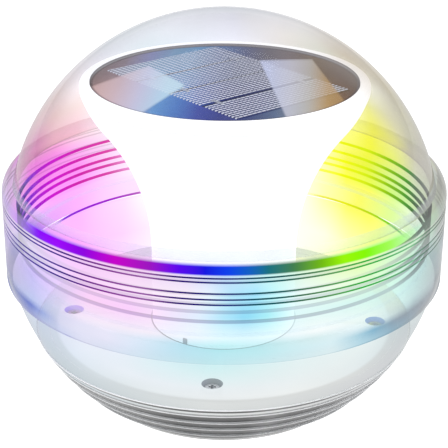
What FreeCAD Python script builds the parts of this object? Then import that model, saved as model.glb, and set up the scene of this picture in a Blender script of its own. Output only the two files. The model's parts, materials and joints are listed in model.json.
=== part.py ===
import FreeCAD, Part
import math
import os

from FreeCAD import Vector

# Floating pool light: a clear ball on a grey ridged foot, with a white column inside that carries a
# round solar panel. Millimetres, +Z up, origin at the centre of the foot's underside.

# The ball: the dome is a little smaller than the hull below the collar
ball_radius = 73.3
hull_radius = 74.8
ball_centre_z = 60.0
dome_wall = 2.2
dome_edge_z = 77.0

# The collar round the middle, which turns with the dome
collar_radius = 75.0
collar_inner = 70.4
collar_seat = 71.5                 # rebate that holds the dome's edge
collar_bottom_z = 44.25
collar_foot_radius = 73.0
collar_corner = (74.9, 45.2)       # top of the slope under the straight wall
shoulder_z = 74.5                  # where the straight wall ends
shoulder_radius = 7.06
groove_levels = [64.9, 66.6, 68.5, 72.1, 73.4]
groove_width = 0.55
groove_depth = 0.5
rib_levels = [70.0, 66.0, 62.8, 60.2, 57.0]
rib_height = 0.9
rib_width = 0.9

# The bayonet between the collar and the bowl's rim
lug_count = 4
lug_angle = 14.0
lug_radius = 72.0
lug_low_z = 47.5
lug_high_z = 49.9
collar_travel = 30.0               # degrees from locked to open
lug_slack = 1.0                    # degrees each side of a lug
lug_gap = 0.4

# The bowl and its floor
bowl_wall = 2.9
bowl_low_z = 24.0
floor_z = 23.7
floor_thickness = 2.5
floor_fillet = 3.0
rim_radius = 70.05
rim_inner = 67.7
rim_top_z = 54.0
ledge_z = 43.95
seal_groove_z = 52.3
seal_groove_half = 0.6
seal_groove_depth = 1.1
hull_seal_radius = 0.55
socket_inner = 9.6                 # raised ring that steadies the battery tube
socket_outer = 11.8
spigot_top = 63.6                  # the bowl's tapered plug into the base
spigot_foot = 61.8
base_seal_inner = 60.5
base_seal_outer = 61.6
base_seal_height = 1.0

# The four screw wells in the floor, as x, y
well_places = [(53.7, 0.0), (-53.7, 0.0), (0.0, 48.7), (0.0, -48.7)]
well_radius = 3.5
well_bottom_z = 20.7
well_boss_radius = 4.4
well_boss_z = 18.9
screw_hole_radius = 1.7
well_pilot_radius = 1.3
well_pilot_z = 14.5

# The ridged base
ridge_levels = [24.0, 20.6, 16.4, 11.9, 6.8, 1.0]
ridge_ledge = 0.45
base_wall = 3.3
base_floor = 2.4
foot_chamfer = 1.0
base_step = 2.4                    # depth of the shoulder that carries the bowl's plug
ballast_inner = 34.6
ballast_outer = 39.2
ballast_height = 9.0

# The battery door in the middle of the base
door_radius = 12.5
door_face_z = 0.5
door_flange = 1.6
door_seat_z = 3.3
door_neck = 10.1
door_neck_z = 7.9
door_bore = 10.45
door_boss = 14.8
door_boss_z = 9.0
door_lug_count = 3
door_lug_angle = 24.0
door_lug_radius = 11.9
door_lug_z = (4.8, 6.8)
door_travel = 45.0
door_gap = 0.4
door_skirt_inner = 8.3
door_seal_outer = 12.3
door_seal_height = 0.9
contact_radius = 5.5

# The column and the solar panel on it
column_radius = 25.1
column_wall = 1.8
flare_start_z = 50.0
flare_radius = 73.0
flare_end_angle = 39.26            # degrees up the flare's arc
lip_radius = 35.0
column_top_z = 107.0
panel_radius = 44.4
panel_seat_z = 108.9
panel_board_thickness = 1.2
panel_top_z = 111.05
panel_ledge_inner = 38.0           # shelf inside the lip that carries the bezel
panel_ledge_z = 105.2
bezel_radius = 48.0
bezel_inner = 44.65
bezel_shelf_inner = 40.0
bezel_chamfer = 0.4
bezel_round = 1.2
cover_radius = 44.5
cover_skirt_inner = 43.7
cover_gap = 0.15
ribbon_offset = 18.0
cell_count = 4
cell_length = 47.8
cell_width = 15.75
cell_gap = 1.5
cell_thickness = 0.3
cell_turn = 44.4                   # degrees from +X to the strips' long side
cell_centre = (0.3, 1.0)

# The battery, a 14500 cell, on the axis
cell_radius = 7.1
battery_low_z = 9.2
battery_length = 49.0
tube_radius = 9.2
tube_bore = 7.5
tube_top_z = 62.5
tube_cap = 1.8
tube_foot_radius = 12.6
tube_foot_height = 1.4

# Boards
lamp_board_z = 27.0
lamp_board_radius = 18.5
lamp_count = 8
lamp_ring = 15.0
lamp_size = 5.0
lamp_height = 1.6
lamp_window_radius = 1.9
control_board_z = 9.6
control_board_radius = 33.5
control_board_hole = 13.2
board_thickness = 1.6
lead_x = 15.6
lead_hole_radius = 1.3
panel_lead_radius = 1.0
lamp_lead_radius = 0.9
column_screw_angles = [90, 210, 330]
column_screw_ring = 21.2
column_hole_radius = 1.4
column_boss_radius = 2.3
column_boss_z = 31.0
column_pilot_radius = 1.2
column_pilot_z = 29.5
index_angle = -117                 # tab on the column's foot
index_depth = 0.9
index_width = 1.7
index_height = 2.0
board_screw_angles = [60, 120, 270]
board_screw_ring = 30.0
board_hole_radius = 1.1
board_post_radius = 2.0
board_pilot_radius = 0.95
board_pilot_z = 4.5

# The push button under the base
button_x = -24.0
button_radius = 4.6
button_hole = 4.95
button_face_z = 0.8
button_travel = 0.8
button_flange_radius = 5.9
button_stem_radius = 1.5
button_seal_inner = 6.3
button_seal_outer = 8.4
button_seal_height = 1.8
switch_size = 6.0
switch_body_z = 6.2
switch_tip_z = 4.9                 # underside of the switch's plunger
switch_tip_radius = 1.75


def ball_edge(z, radius=ball_radius):
    """Distance from the axis to a sphere about the ball's centre at height z."""
    return math.sqrt(radius ** 2 - (z - ball_centre_z) ** 2)


def low_on_ball(r, radius):
    """Height of a sphere's lower half at distance r from the axis."""
    return ball_centre_z - math.sqrt(radius ** 2 - r ** 2)


def arc_about(centre, radius, start, end):
    """Outline step: an arc about a centre between two angles in degrees."""
    def point(angle):
        turn = math.radians(angle)
        return (centre[0] + radius * math.cos(turn), centre[1] + radius * math.sin(turn))
    return (point((start + end) / 2), point(end))


def ball_arc(radius, z_start, z_end):
    """Outline step: an arc along a sphere about the ball's centre."""
    start, end = (math.degrees(math.asin(min(1.0, (z - ball_centre_z) / radius)))
                  for z in (z_start, z_end))
    return arc_about((0, ball_centre_z), radius, start, end)


def section(outline):
    """Face in the XZ plane. An outline is points, with a pair of points where an arc goes through one."""
    edges = []
    here = outline[0]
    for step in outline[1:] + [outline[0]]:
        is_arc = isinstance(step[0], tuple)
        end = step[1] if is_arc else step
        a = Vector(here[0], 0, here[1])
        b = Vector(end[0], 0, end[1])
        if is_arc:
            middle = Vector(step[0][0], 0, step[0][1])
            edges.append(Part.Arc(a, middle, b).toShape())
        elif a.distanceToPoint(b) > 1e-6:
            edges.append(Part.LineSegment(a, b).toShape())
        here = end
    return Part.Face(Part.Wire(edges))


def turned(outline, start=0.0, sweep=360.0):
    """Solid of revolution about Z from a section outline."""
    face = section(outline)
    face.rotate(Vector(0, 0, 0), Vector(0, 0, 1), start)
    return face.revolve(Vector(0, 0, 0), Vector(0, 0, 1), sweep)


def ring(inner, outer, low, high):
    return turned([(inner, low), (outer, low), (outer, high), (inner, high)])


def ring_sector(inner, outer, low, high, start, sweep):
    return turned([(inner, low), (outer, low), (outer, high), (inner, high)], start, sweep)


def rod(radius, low, high, x=0.0, y=0.0):
    return Part.makeCylinder(radius, high - low, Vector(x, y, low))


def block(size_x, size_y, low, high, x=0.0, y=0.0):
    corner = Vector(x - size_x / 2, y - size_y / 2, low)
    return Part.makeBox(size_x, size_y, high - low, corner)


def at_angle(radius, degrees):
    turn = math.radians(degrees)
    return radius * math.cos(turn), radius * math.sin(turn)


def spun(shape, degrees):
    copy = shape.copy()
    copy.rotate(Vector(0, 0, 0), Vector(0, 0, 1), degrees)
    return copy


def joined(shapes):
    return shapes[0].multiFuse(shapes[1:]).removeSplitter()


def dome_lens():
    inside = ball_radius - dome_wall
    top = ball_centre_z + ball_radius
    outline = [(ball_edge(dome_edge_z), dome_edge_z), ball_arc(ball_radius, dome_edge_z, top)]
    outline += [(0, top - dome_wall), ball_arc(inside, top - dome_wall, dome_edge_z)]
    return turned(outline)


def dome_seal():
    low = dome_edge_z + 0.3
    high = dome_edge_z + 3.2
    skin = ball_radius + 0.03
    outline = [(collar_seat - 0.05, low), (collar_seat - 0.05, high)]
    outline += [(ball_edge(high, skin), high), ball_arc(skin, high, low)]
    return turned(outline)


def collar_ring():
    shoulder_centre = (collar_radius - shoulder_radius, shoulder_z)
    shoulder_end = math.degrees(math.acos((collar_seat - shoulder_centre[0]) / shoulder_radius))
    outline = [(collar_inner, collar_bottom_z), (collar_foot_radius, collar_bottom_z), collar_corner]
    outline += [(collar_radius, ball_centre_z)]
    for z in groove_levels:
        for side in (-1, 1):
            edge = z + side * groove_width / 2
            mouth = (collar_radius, edge)
            floor = (collar_radius - groove_depth, edge)
            outline += [mouth, floor] if side < 0 else [floor, mouth]
    outline += [(collar_radius, shoulder_z)]
    outline += [arc_about(shoulder_centre, shoulder_radius, 0, shoulder_end)]
    outline += [(collar_seat, dome_edge_z), (collar_inner, dome_edge_z)]
    for z in rib_levels:
        crest = collar_inner - rib_height
        outline += [(collar_inner, z + rib_width / 2), (crest, z + rib_width / 3)]
        outline += [(crest, z - rib_width / 3), (collar_inner, z - rib_width / 2)]
    ring_body = turned(outline)

    low = lug_low_z - 0.3
    high = lug_high_z + 0.3
    half = lug_angle / 2 + lug_slack
    cuts = []
    for i in range(lug_count):
        start = 45 + i * 360 / lug_count - collar_travel - half
        reach = lug_radius + lug_gap
        cuts.append(ring_sector(collar_inner - 1, reach, low, high, start, collar_travel + 2 * half))
        cuts.append(ring_sector(collar_inner - 1, reach, collar_bottom_z - 1, high, start, 2 * half))
    return ring_body.cut(cuts)


def lower_bowl():
    inside = hull_radius - bowl_wall
    below = floor_z + floor_fillet - ball_centre_z
    fillet_centre = (math.sqrt((inside - floor_fillet) ** 2 - below ** 2), floor_z + floor_fillet)
    fillet_end = math.degrees(math.atan2(below, fillet_centre[0]))
    fillet_top = ball_centre_z + inside * math.sin(math.radians(fillet_end))
    under = floor_z - floor_thickness

    outline = [(rim_inner, rim_top_z), (rim_radius, rim_top_z)]
    groove_floor = rim_radius - seal_groove_depth
    groove_top = seal_groove_z + seal_groove_half
    groove_foot = seal_groove_z - seal_groove_half
    outline += [(rim_radius, groove_top), (groove_floor, groove_top)]
    outline += [(groove_floor, groove_foot), (rim_radius, groove_foot)]
    outline += [(rim_radius, ledge_z), (ball_edge(ledge_z, hull_radius), ledge_z)]
    outline += [ball_arc(hull_radius, ledge_z, bowl_low_z), (spigot_top, bowl_low_z), (spigot_foot, under)]
    outline += [(socket_inner, under), (socket_inner, lamp_board_z)]
    outline += [(socket_outer, lamp_board_z), (socket_outer, floor_z)]
    foot = column_radius + 0.2                          # fine groove that outlines the column's foot
    outline += [(foot, floor_z), (foot + 0.2, floor_z - 0.3), (foot + 0.4, floor_z)]
    outline += [(fillet_centre[0], floor_z), arc_about(fillet_centre, floor_fillet, -90, fillet_end)]
    outline += [ball_arc(inside, fillet_top, low_on_ball(rim_inner, inside))]
    bowl = turned(outline)

    added = [ring_sector(rim_radius - 1, lug_radius, lug_low_z, lug_high_z,
                         45 + i * 360 / lug_count - lug_angle / 2, lug_angle) for i in range(lug_count)]
    added += [rod(well_boss_radius, well_boss_z, floor_z - 1, x, y) for x, y in well_places]
    holes = [rod(well_radius, well_bottom_z, floor_z + 1, x, y) for x, y in well_places]
    holes += [rod(screw_hole_radius, well_boss_z - 1, floor_z, x, y) for x, y in well_places]
    holes += [rod(column_hole_radius, under - 1, floor_z + 1, *at_angle(column_screw_ring, a))
              for a in column_screw_angles]
    holes += [rod(lead_hole_radius, under - 1, floor_z + 1, side * lead_x) for side in (-1, 1)]
    return joined([bowl] + added).cut(holes)


def hull_seal():
    return Part.makeTorus(rim_radius - hull_seal_radius, hull_seal_radius, Vector(0, 0, seal_groove_z))


def base_block():
    """The base's outside, before it is hollowed: five ridges, each with a narrow ledge on top."""
    outline = [(0, 0), (ball_edge(ridge_levels[-1], hull_radius) - ridge_ledge - foot_chamfer, 0)]
    for low, high in zip(ridge_levels[:0:-1], ridge_levels[-2::-1]):
        outline.append((ball_edge(low, hull_radius) - ridge_ledge, low))
        outline.append((ball_edge(high, hull_radius) + ridge_ledge, high))
    outline.append((0, ridge_levels[0]))
    return turned(outline)


def ridged_base():
    inside = hull_radius - base_wall
    seat = floor_z - floor_thickness
    step = seat - base_step
    cavity = [(0, base_floor), (ball_edge(base_floor, inside), base_floor)]
    cavity += [ball_arc(inside, base_floor, step)]
    cavity += [(base_seal_inner - 0.1, step), (base_seal_inner - 0.1, seat - base_seal_height)]
    cavity += [(base_seal_outer + 0.1, seat - base_seal_height), (base_seal_outer + 0.1, seat)]
    cavity += [(spigot_foot + 0.1, seat), (spigot_top + 0.1, bowl_low_z), (spigot_top + 0.1, bowl_low_z + 1)]
    cavity += [(0, bowl_low_z + 1)]
    outside = base_block()
    shell = outside.cut(turned(cavity))
    posts = [outside.common(rod(well_boss_radius, base_floor, well_boss_z, x, y)) for x, y in well_places]
    boss = rod(door_boss, 0, door_boss_z)
    board_posts = [rod(board_post_radius, 0.5, control_board_z, *at_angle(board_screw_ring, a))
                   for a in board_screw_angles]
    body = joined([shell, boss] + posts + board_posts)

    low = door_lug_z[0] - 0.3
    high = door_lug_z[1] + 0.3
    half = door_lug_angle / 2 + 2
    reach = door_lug_radius + door_gap
    cuts = [rod(door_radius + door_gap, -1, door_seat_z), rod(door_bore, 0, door_boss_z + 1)]
    for i in range(door_lug_count):
        start = i * 360 / door_lug_count - half
        cuts.append(ring_sector(door_bore - 1, reach, low, high, start, door_travel + 2 * half))
        cuts.append(ring_sector(door_bore - 1, reach, door_seat_z - 1, high, start + door_travel, 2 * half))
    cuts += [rod(well_pilot_radius, well_pilot_z, well_boss_z + 1, x, y) for x, y in well_places]
    cuts += [rod(board_pilot_radius, board_pilot_z, control_board_z + 1, *at_angle(board_screw_ring, a))
             for a in board_screw_angles]
    cuts.append(rod(button_hole, -1, base_floor + 1, button_x))
    return body.cut(cuts)


def base_seal():
    seat = floor_z - floor_thickness
    return ring(base_seal_inner, base_seal_outer, seat - base_seal_height, seat)


def pan_screw(head_radius, head_height, shank_radius, shank_length, slot):
    """Screw standing on its head's underside at the origin, shank down, with a cross recess."""
    head = rod(head_radius, 0, head_height)
    top_edge = [edge for edge in head.Edges
                if edge.BoundBox.ZMin > head_height - 0.01 and len(edge.Vertexes) == 1]
    head = head.makeFillet(head_height * 0.4, top_edge)
    screw = joined([head, rod(shank_radius, -shank_length, 0)])
    cross = [block(slot * 3, slot, head_height * 0.5, head_height + 1)]
    cross.append(spun(cross[0], 90))
    return screw.cut(cross)


def placed(shape, x, y, z, upside_down=False):
    copy = shape.copy()
    if upside_down:
        copy.rotate(Vector(0, 0, 0), Vector(1, 0, 0), 180)
    copy.translate(Vector(x, y, z))
    return copy


def base_screws():
    screw = pan_screw(head_radius=2.9, head_height=1.8, shank_radius=1.25, shank_length=5.7, slot=0.8)
    return Part.makeCompound([placed(screw, x, y, well_bottom_z) for x, y in well_places])


def ballast_ring():
    return ring(ballast_inner, ballast_outer, base_floor, base_floor + ballast_height)


def column_side(inset):
    """The column's side as outline steps from foot to lip, moved inwards by inset."""
    flare_centre = (column_radius + flare_radius, flare_start_z)
    turn = math.radians(flare_end_angle)
    reach = flare_radius + lip_radius
    lip_centre = (flare_centre[0] - reach * math.cos(turn), flare_centre[1] + reach * math.sin(turn))
    lip = lip_radius - inset
    top = column_top_z
    lip_end = math.degrees(math.asin((top - lip_centre[1]) / lip))
    side = [(column_radius - inset, floor_z), (column_radius - inset, flare_start_z)]
    side.append(arc_about(flare_centre, flare_radius + inset, 180, 180 - flare_end_angle))
    side.append(arc_about(lip_centre, lip, -flare_end_angle, lip_end))
    return side


def trumpet_reflector():
    outer = column_side(0.0)
    solid = turned([(0, floor_z)] + outer + [(0, column_top_z)])
    hollow = turned([(0, floor_z)] + column_side(column_wall) + [(0, column_top_z)])
    # the shelf runs outwards into the wall of the lip
    seat = turned([(panel_ledge_inner, panel_ledge_z), (46.0, panel_ledge_z), (46.5, column_top_z),
                   (panel_ledge_inner, column_top_z)])
    bosses = [rod(column_boss_radius, floor_z, column_boss_z, *at_angle(column_screw_ring, a))
              for a in column_screw_angles]
    index = block(index_depth, index_width, floor_z, floor_z + index_height, column_radius - 0.1)
    index = spun(index, index_angle)
    body = joined([solid.cut(hollow), seat, index] + bosses)
    return body.cut([rod(column_pilot_radius, floor_z - 1, column_pilot_z, *at_angle(column_screw_ring, a))
                     for a in column_screw_angles])


def column_screws():
    screw = pan_screw(head_radius=2.2, head_height=1.5, shank_radius=1.15, shank_length=7.8, slot=0.6)
    under = floor_z - floor_thickness
    places = [at_angle(column_screw_ring, a) for a in column_screw_angles]
    return Part.makeCompound([placed(screw, x, y, under, True) for x, y in places])


def panel_bezel():
    top = panel_top_z + cover_gap
    outline = [(bezel_shelf_inner, column_top_z), (bezel_radius - bezel_chamfer, column_top_z)]
    outline += [(bezel_radius, column_top_z + bezel_round), (bezel_radius, top - bezel_round)]
    outline += [arc_about((bezel_radius - bezel_round, top - bezel_round), bezel_round, 0, 90)]
    outline += [(bezel_inner, top), (bezel_inner, panel_seat_z), (bezel_shelf_inner, panel_seat_z)]
    return turned(outline)


def panel_board():
    return rod(panel_radius, panel_seat_z, panel_seat_z + panel_board_thickness)


def solar_cell(index):
    low = panel_seat_z + panel_board_thickness
    offset = (index - (cell_count - 1) / 2) * (cell_width + cell_gap)
    strip = block(cell_length, cell_width, low, low + cell_thickness, 0, -offset)
    strip = spun(strip, cell_turn)
    strip.translate(Vector(cell_centre[0], cell_centre[1], 0))
    return strip


def cell_ribbons():
    low = panel_seat_z + panel_board_thickness + cell_thickness
    ribbons = []
    for gap in range(cell_count - 1):
        offset = (gap + 1 - cell_count / 2) * (cell_width + cell_gap)
        for side in (-1, 1):
            ribbon = spun(block(1.6, 5.0, low, low + 0.12, side * ribbon_offset, -offset), cell_turn)
            ribbon.translate(Vector(cell_centre[0], cell_centre[1], 0))
            ribbons.append(ribbon)
    return Part.makeCompound(ribbons)


def panel_cover():
    low = panel_seat_z + panel_board_thickness
    under = low + cell_thickness + cover_gap
    outline = [(0, under), (cover_skirt_inner, under), (cover_skirt_inner, low), (cover_radius, low)]
    outline += [(cover_radius, panel_top_z), (0, panel_top_z)]
    return turned(outline)


def cable(route, radius):
    """Round lead along straight runs joined by arcs as large as the runs allow."""
    edges = []
    here = route[0]
    for before, corner, after in zip(route, route[1:], route[2:]):
        back = before - corner
        ahead = after - corner
        cut = 0.45 * min(back.Length, ahead.Length)
        back.normalize()
        ahead.normalize()
        start = corner + back * cut
        end = corner + ahead * cut
        half = math.acos(max(-1.0, min(1.0, back.dot(ahead)))) / 2
        bisector = (back + ahead).normalize()
        bend = cut * math.tan(half)
        middle = corner + bisector * (cut / math.cos(half) - bend)
        edges += [Part.LineSegment(here, start).toShape(), Part.Arc(start, middle, end).toShape()]
        here = end
    edges.append(Part.LineSegment(here, route[-1]).toShape())
    path = Part.Wire(edges)
    ring_edge = Part.makeCircle(radius, route[0], route[1] - route[0])
    return path.makePipeShell([Part.Wire([ring_edge])], True, False)


def panel_lead():
    top = control_board_z + board_thickness
    route = [(8.0, panel_seat_z), (8.0, 96.0), (lead_x, 74.0), (lead_x, top)]
    return cable([Vector(x, 0, z) for x, z in route], panel_lead_radius)


def lamp_lead():
    return rod(lamp_lead_radius, control_board_z + board_thickness, lamp_board_z, -lead_x)


def lamp_board():
    board = ring(9.9, lamp_board_radius, lamp_board_z, lamp_board_z + board_thickness)
    return board.cut(rod(lead_hole_radius, lamp_board_z - 1, lamp_board_z + 3, lead_x))


def colour_lamps():
    low = lamp_board_z + board_thickness
    lamp = block(lamp_size, lamp_size, low, low + lamp_height, lamp_ring)
    window = rod(lamp_window_radius, low + lamp_height - 0.3, low + lamp_height + 1, lamp_ring)
    lamp = lamp.cut(window)
    return Part.makeCompound([spun(lamp, (i + 0.5) * 360 / lamp_count) for i in range(lamp_count)])


def battery_tube():
    foot = ring(tube_bore, tube_foot_radius, door_boss_z, door_boss_z + tube_foot_height)
    wall = ring(tube_bore, tube_radius, door_boss_z, tube_top_z)
    cap = rod(tube_radius, tube_top_z - tube_cap, tube_top_z)
    return joined([wall, foot, cap])


def battery_cell():
    top = battery_low_z + battery_length
    can = rod(cell_radius, battery_low_z, top)
    edges = [edge for edge in can.Edges if len(edge.Vertexes) == 1]
    return joined([can.makeFillet(0.6, edges), rod(2.7, top - 0.5, top + 1.0)])


def top_contact():
    under = tube_top_z - tube_cap
    outline = [(0, under - 1.3), (1.6, under - 1.3), (3.0, under - 0.4), (contact_radius, under - 0.4)]
    outline += [(contact_radius, under), (0, under)]
    return turned(outline)


def door_contact():
    low = door_neck_z
    outline = [(0, low), (contact_radius, low), (contact_radius, low + 0.3), (3.0, low + 0.3)]
    outline += [(1.8, low + 1.1), (0, low + 1.1)]
    return turned(outline)


def battery_door():
    flange_top = door_face_z + door_flange
    plate = turned([(0, door_face_z), (door_radius - 0.5, door_face_z), (door_radius, door_face_z + 0.5),
                    (door_radius, flange_top), (0, flange_top)])
    neck = ring(door_skirt_inner, door_neck, flange_top - 0.5, door_neck_z)
    web = rod(door_neck, door_neck_z - 1.5, door_neck_z)
    lugs = [ring_sector(door_neck - 1, door_lug_radius, door_lug_z[0], door_lug_z[1],
                        i * 360 / door_lug_count - door_lug_angle / 2, door_lug_angle)
            for i in range(door_lug_count)]
    door = joined([plate, neck, web] + lugs)
    coin_slot = block(16.0, 2.0, 0, door_face_z + 0.8)
    pointer = block(2.2, 0.8, 0, door_face_z + 0.5, 10.6)
    return door.cut([coin_slot, pointer])


def door_seal():
    low = door_face_z + door_flange
    return ring(door_neck + 0.05, door_seal_outer, low, low + door_seal_height)


def control_board():
    board = ring(control_board_hole, control_board_radius, control_board_z, control_board_z + board_thickness)
    places = [at_angle(board_screw_ring, a) for a in board_screw_angles]
    low = control_board_z - 1
    high = control_board_z + board_thickness + 1
    return board.cut([rod(board_hole_radius, low, high, x, y) for x, y in places])


def board_screws():
    screw = pan_screw(head_radius=1.9, head_height=1.2, shank_radius=0.9, shank_length=5.5, slot=0.5)
    top = control_board_z + board_thickness
    return Part.makeCompound([placed(screw, *at_angle(board_screw_ring, a), top) for a in board_screw_angles])


def driver_chip():
    top = control_board_z + board_thickness
    x, y = 20.0, -16.0
    body = block(5.0, 4.0, top + 0.2, top + 1.7, x, y)
    legs = [block(0.4, 1.0, top, top + 0.6, x + (i - 1.5) * 1.27, y + side * 2.4)
            for i in range(4) for side in (-1, 1)]
    return joined([body] + legs)


def power_coil():
    top = control_board_z + board_thickness
    levels = [(3.6, 0, 0.8), (2.4, 0, 4.0), (3.6, 3.2, 4.0)]
    return joined([rod(radius, top + low, top + high, -20.0, 17.0) for radius, low, high in levels])


def storage_capacitor():
    top = control_board_z + board_thickness
    return joined([rod(3.15, top + 0.3, top + 7.0, -8.0, -25.0), rod(2.9, top, top + 0.4, -8.0, -25.0)])


def tact_switch():
    body = block(switch_size, switch_size, switch_body_z, control_board_z, button_x)
    return joined([body, rod(switch_tip_radius, switch_tip_z, switch_body_z + 0.2, button_x)])


def mode_button():
    flange_z = base_floor + 0.2
    stem_z = switch_tip_z - button_travel - 0.05
    outline = [(0, button_face_z), (button_radius - 0.4, button_face_z), (button_radius, button_face_z + 0.4)]
    outline += [(button_radius, flange_z), (button_flange_radius, flange_z)]
    outline += [(button_flange_radius, flange_z + 0.7), (button_stem_radius, flange_z + 0.7)]
    outline += [(button_stem_radius, stem_z), (0, stem_z)]
    cap = turned(outline)
    cap.translate(Vector(button_x, 0, 0))
    return cap


def button_seal():
    seal = ring(button_seal_inner, button_seal_outer, base_floor, base_floor + button_seal_height)
    seal.translate(Vector(button_x, 0, 0))
    return seal


pieces = {
    "dome_lens": dome_lens,
    "dome_seal": dome_seal,
    "collar_ring": collar_ring,
    "lower_bowl": lower_bowl,
    "hull_seal": hull_seal,
    "ridged_base": ridged_base,
    "base_seal": base_seal,
    "base_screws": base_screws,
    "ballast_ring": ballast_ring,
    "trumpet_reflector": trumpet_reflector,
    "column_screws": column_screws,
    "panel_bezel": panel_bezel,
    "panel_board": panel_board,
    "cell_ribbons": cell_ribbons,
    "panel_cover": panel_cover,
    "panel_lead": panel_lead,
    "lamp_lead": lamp_lead,
    "lamp_board": lamp_board,
    "colour_lamps": colour_lamps,
    "battery_tube": battery_tube,
    "battery_cell": battery_cell,
    "top_contact": top_contact,
    "battery_door": battery_door,
    "door_seal": door_seal,
    "door_contact": door_contact,
    "control_board": control_board,
    "board_screws": board_screws,
    "driver_chip": driver_chip,
    "power_coil": power_coil,
    "storage_capacitor": storage_capacitor,
    "tact_switch": tact_switch,
    "mode_button": mode_button,
    "button_seal": button_seal,
}

os.makedirs("parts", exist_ok=True)
shapes = {name: make() for name, make in pieces.items()}
for i in range(cell_count):
    shapes["solar_cell_%d" % (i + 1)] = solar_cell(i)
for name, shape in shapes.items():
    print(name, "solids", len(shape.Solids), "volume", round(shape.Volume), "valid", shape.isValid())
    shape.exportStep("parts/%s.step" % name)
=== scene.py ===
import bpy
import bmesh
import json
import math
from mathutils import Matrix, Vector


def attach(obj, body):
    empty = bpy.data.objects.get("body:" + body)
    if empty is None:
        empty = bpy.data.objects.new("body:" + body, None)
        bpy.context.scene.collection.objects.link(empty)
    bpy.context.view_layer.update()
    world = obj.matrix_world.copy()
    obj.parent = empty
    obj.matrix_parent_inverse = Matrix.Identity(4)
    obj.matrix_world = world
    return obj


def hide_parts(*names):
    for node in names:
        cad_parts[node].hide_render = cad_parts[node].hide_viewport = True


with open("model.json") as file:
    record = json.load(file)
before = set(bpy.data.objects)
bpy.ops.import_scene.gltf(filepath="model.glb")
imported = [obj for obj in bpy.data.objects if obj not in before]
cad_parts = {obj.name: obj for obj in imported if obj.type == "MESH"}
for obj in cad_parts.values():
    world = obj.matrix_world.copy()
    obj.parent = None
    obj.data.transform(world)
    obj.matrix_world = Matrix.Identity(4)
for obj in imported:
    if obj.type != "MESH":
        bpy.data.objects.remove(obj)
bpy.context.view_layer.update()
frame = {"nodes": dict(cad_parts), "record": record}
mm = 0.001
ballCentre = 60.0                    # height of the ball's centre in mm
fineSteps = 160                      # turning steps of the clear walls


# sRGB hex to the linear values that Blender's sockets take
def hexColour(code, alpha=1.0):
    parts = [int(code[i:i + 2], 16) / 255 for i in (1, 3, 5)]
    linear = [c / 12.92 if c <= 0.04045 else ((c + 0.055) / 1.055) ** 2.4 for c in parts]
    return (*linear, alpha)


# adds one node: inputs take a socket or a value, stops fill a ramp, the rest are the node's settings
def addNode(tree, kind, inputs=None, stops=None, **settings):
    node = tree.nodes.new(kind)
    for name, value in settings.items():
        setattr(node, name, value)
    for socket, value in (inputs or {}).items():
        if isinstance(value, bpy.types.NodeSocket):
            tree.links.new(value, node.inputs[socket])
        else:
            node.inputs[socket].default_value = value
    if stops:
        elements = node.color_ramp.elements
        elements[0].position, elements[0].color = stops[0]
        elements[1].position, elements[1].color = stops[-1]
        for place, colour in stops[1:-1]:
            elements.new(place).color = colour
    return node


def startMaterial(name):
    material = bpy.data.materials.new(name)
    material.use_nodes = True
    material.node_tree.nodes.clear()
    return material, material.node_tree


def endMaterial(material, tree, surface):
    addNode(tree, "ShaderNodeOutputMaterial", {"Surface": surface})
    return material


# where a point is about the axis: 0 at the back, 0.25 left, 0.5 front, 0.75 right; its height; its radius
def aroundAxis(tree):
    place = addNode(tree, "ShaderNodeTexCoord").outputs["Object"]
    xyz = addNode(tree, "ShaderNodeSeparateXYZ", {0: place}).outputs
    ahead = addNode(tree, "ShaderNodeMath", {0: xyz["Y"], 1: -1.0}, operation="MULTIPLY").outputs[0]
    turn = addNode(tree, "ShaderNodeMath", {0: xyz["X"], 1: ahead}, operation="ARCTAN2").outputs[0]
    share = addNode(tree, "ShaderNodeMath", {0: turn, 1: 0.5 / math.pi, 2: 0.5},
                    operation="MULTIPLY_ADD").outputs[0]
    flat = addNode(tree, "ShaderNodeCombineXYZ", {0: xyz["X"], 1: xyz["Y"]}).outputs[0]
    radius = addNode(tree, "ShaderNodeVectorMath", {0: flat}, operation="LENGTH").outputs["Value"]
    return share, xyz["Z"], radius


# {degrees from the front: (colour, cover)} to ramp stops; a bare colour covers fully
def ringStops(ring):
    stops = []
    for angle, look in sorted(ring.items()):
        colour, cover = (look, 1.0) if isinstance(look, str) else look
        stops.append(((angle + 180) / 360, hexColour(colour, cover)))
    return stops


# blends rings of colour from one level to the next, a level being mm of height or of radius;
# one ring alone serves every level
def glowChart(tree, along, share, chart):
    levels = sorted(chart)
    colour = cover = None
    for i, level in enumerate(levels):
        ramp = addNode(tree, "ShaderNodeValToRGB", {0: share}, stops=ringStops(chart[level])).outputs
        if i == 0:
            colour, cover = ramp["Color"], ramp["Alpha"]
            continue
        step = addNode(tree, "ShaderNodeMapRange",
                       {0: along, 1: levels[i - 1] * mm, 2: level * mm}, clamp=True).outputs[0]
        colour = addNode(tree, "ShaderNodeMix", {0: step, 6: colour, 7: ramp["Color"]},
                         data_type="RGBA").outputs[2]
        cover = addNode(tree, "ShaderNodeMix", {0: step, 2: cover, 3: ramp["Alpha"]}).outputs[0]
    return colour, cover


# uneven flow in a moulding: a slow noise about 1, times the colour
def flowMarks(tree, colour, look):
    place = addNode(tree, "ShaderNodeTexCoord").outputs["Object"]
    flow = addNode(tree, "ShaderNodeTexNoise",
                   {"Vector": place, "Scale": 1 / (look["flowSize"] * mm), "Detail": 3.0}).outputs[0]
    shade = addNode(tree, "ShaderNodeMapRange",
                    {0: flow, 1: 0.3, 2: 0.7, 3: 1 - look["flowDepth"],
                     4: 1 + look["flowDepth"]}).outputs[0]
    return addNode(tree, "ShaderNodeVectorMath", {0: colour, "Scale": shade}, operation="SCALE").outputs[0]


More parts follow.
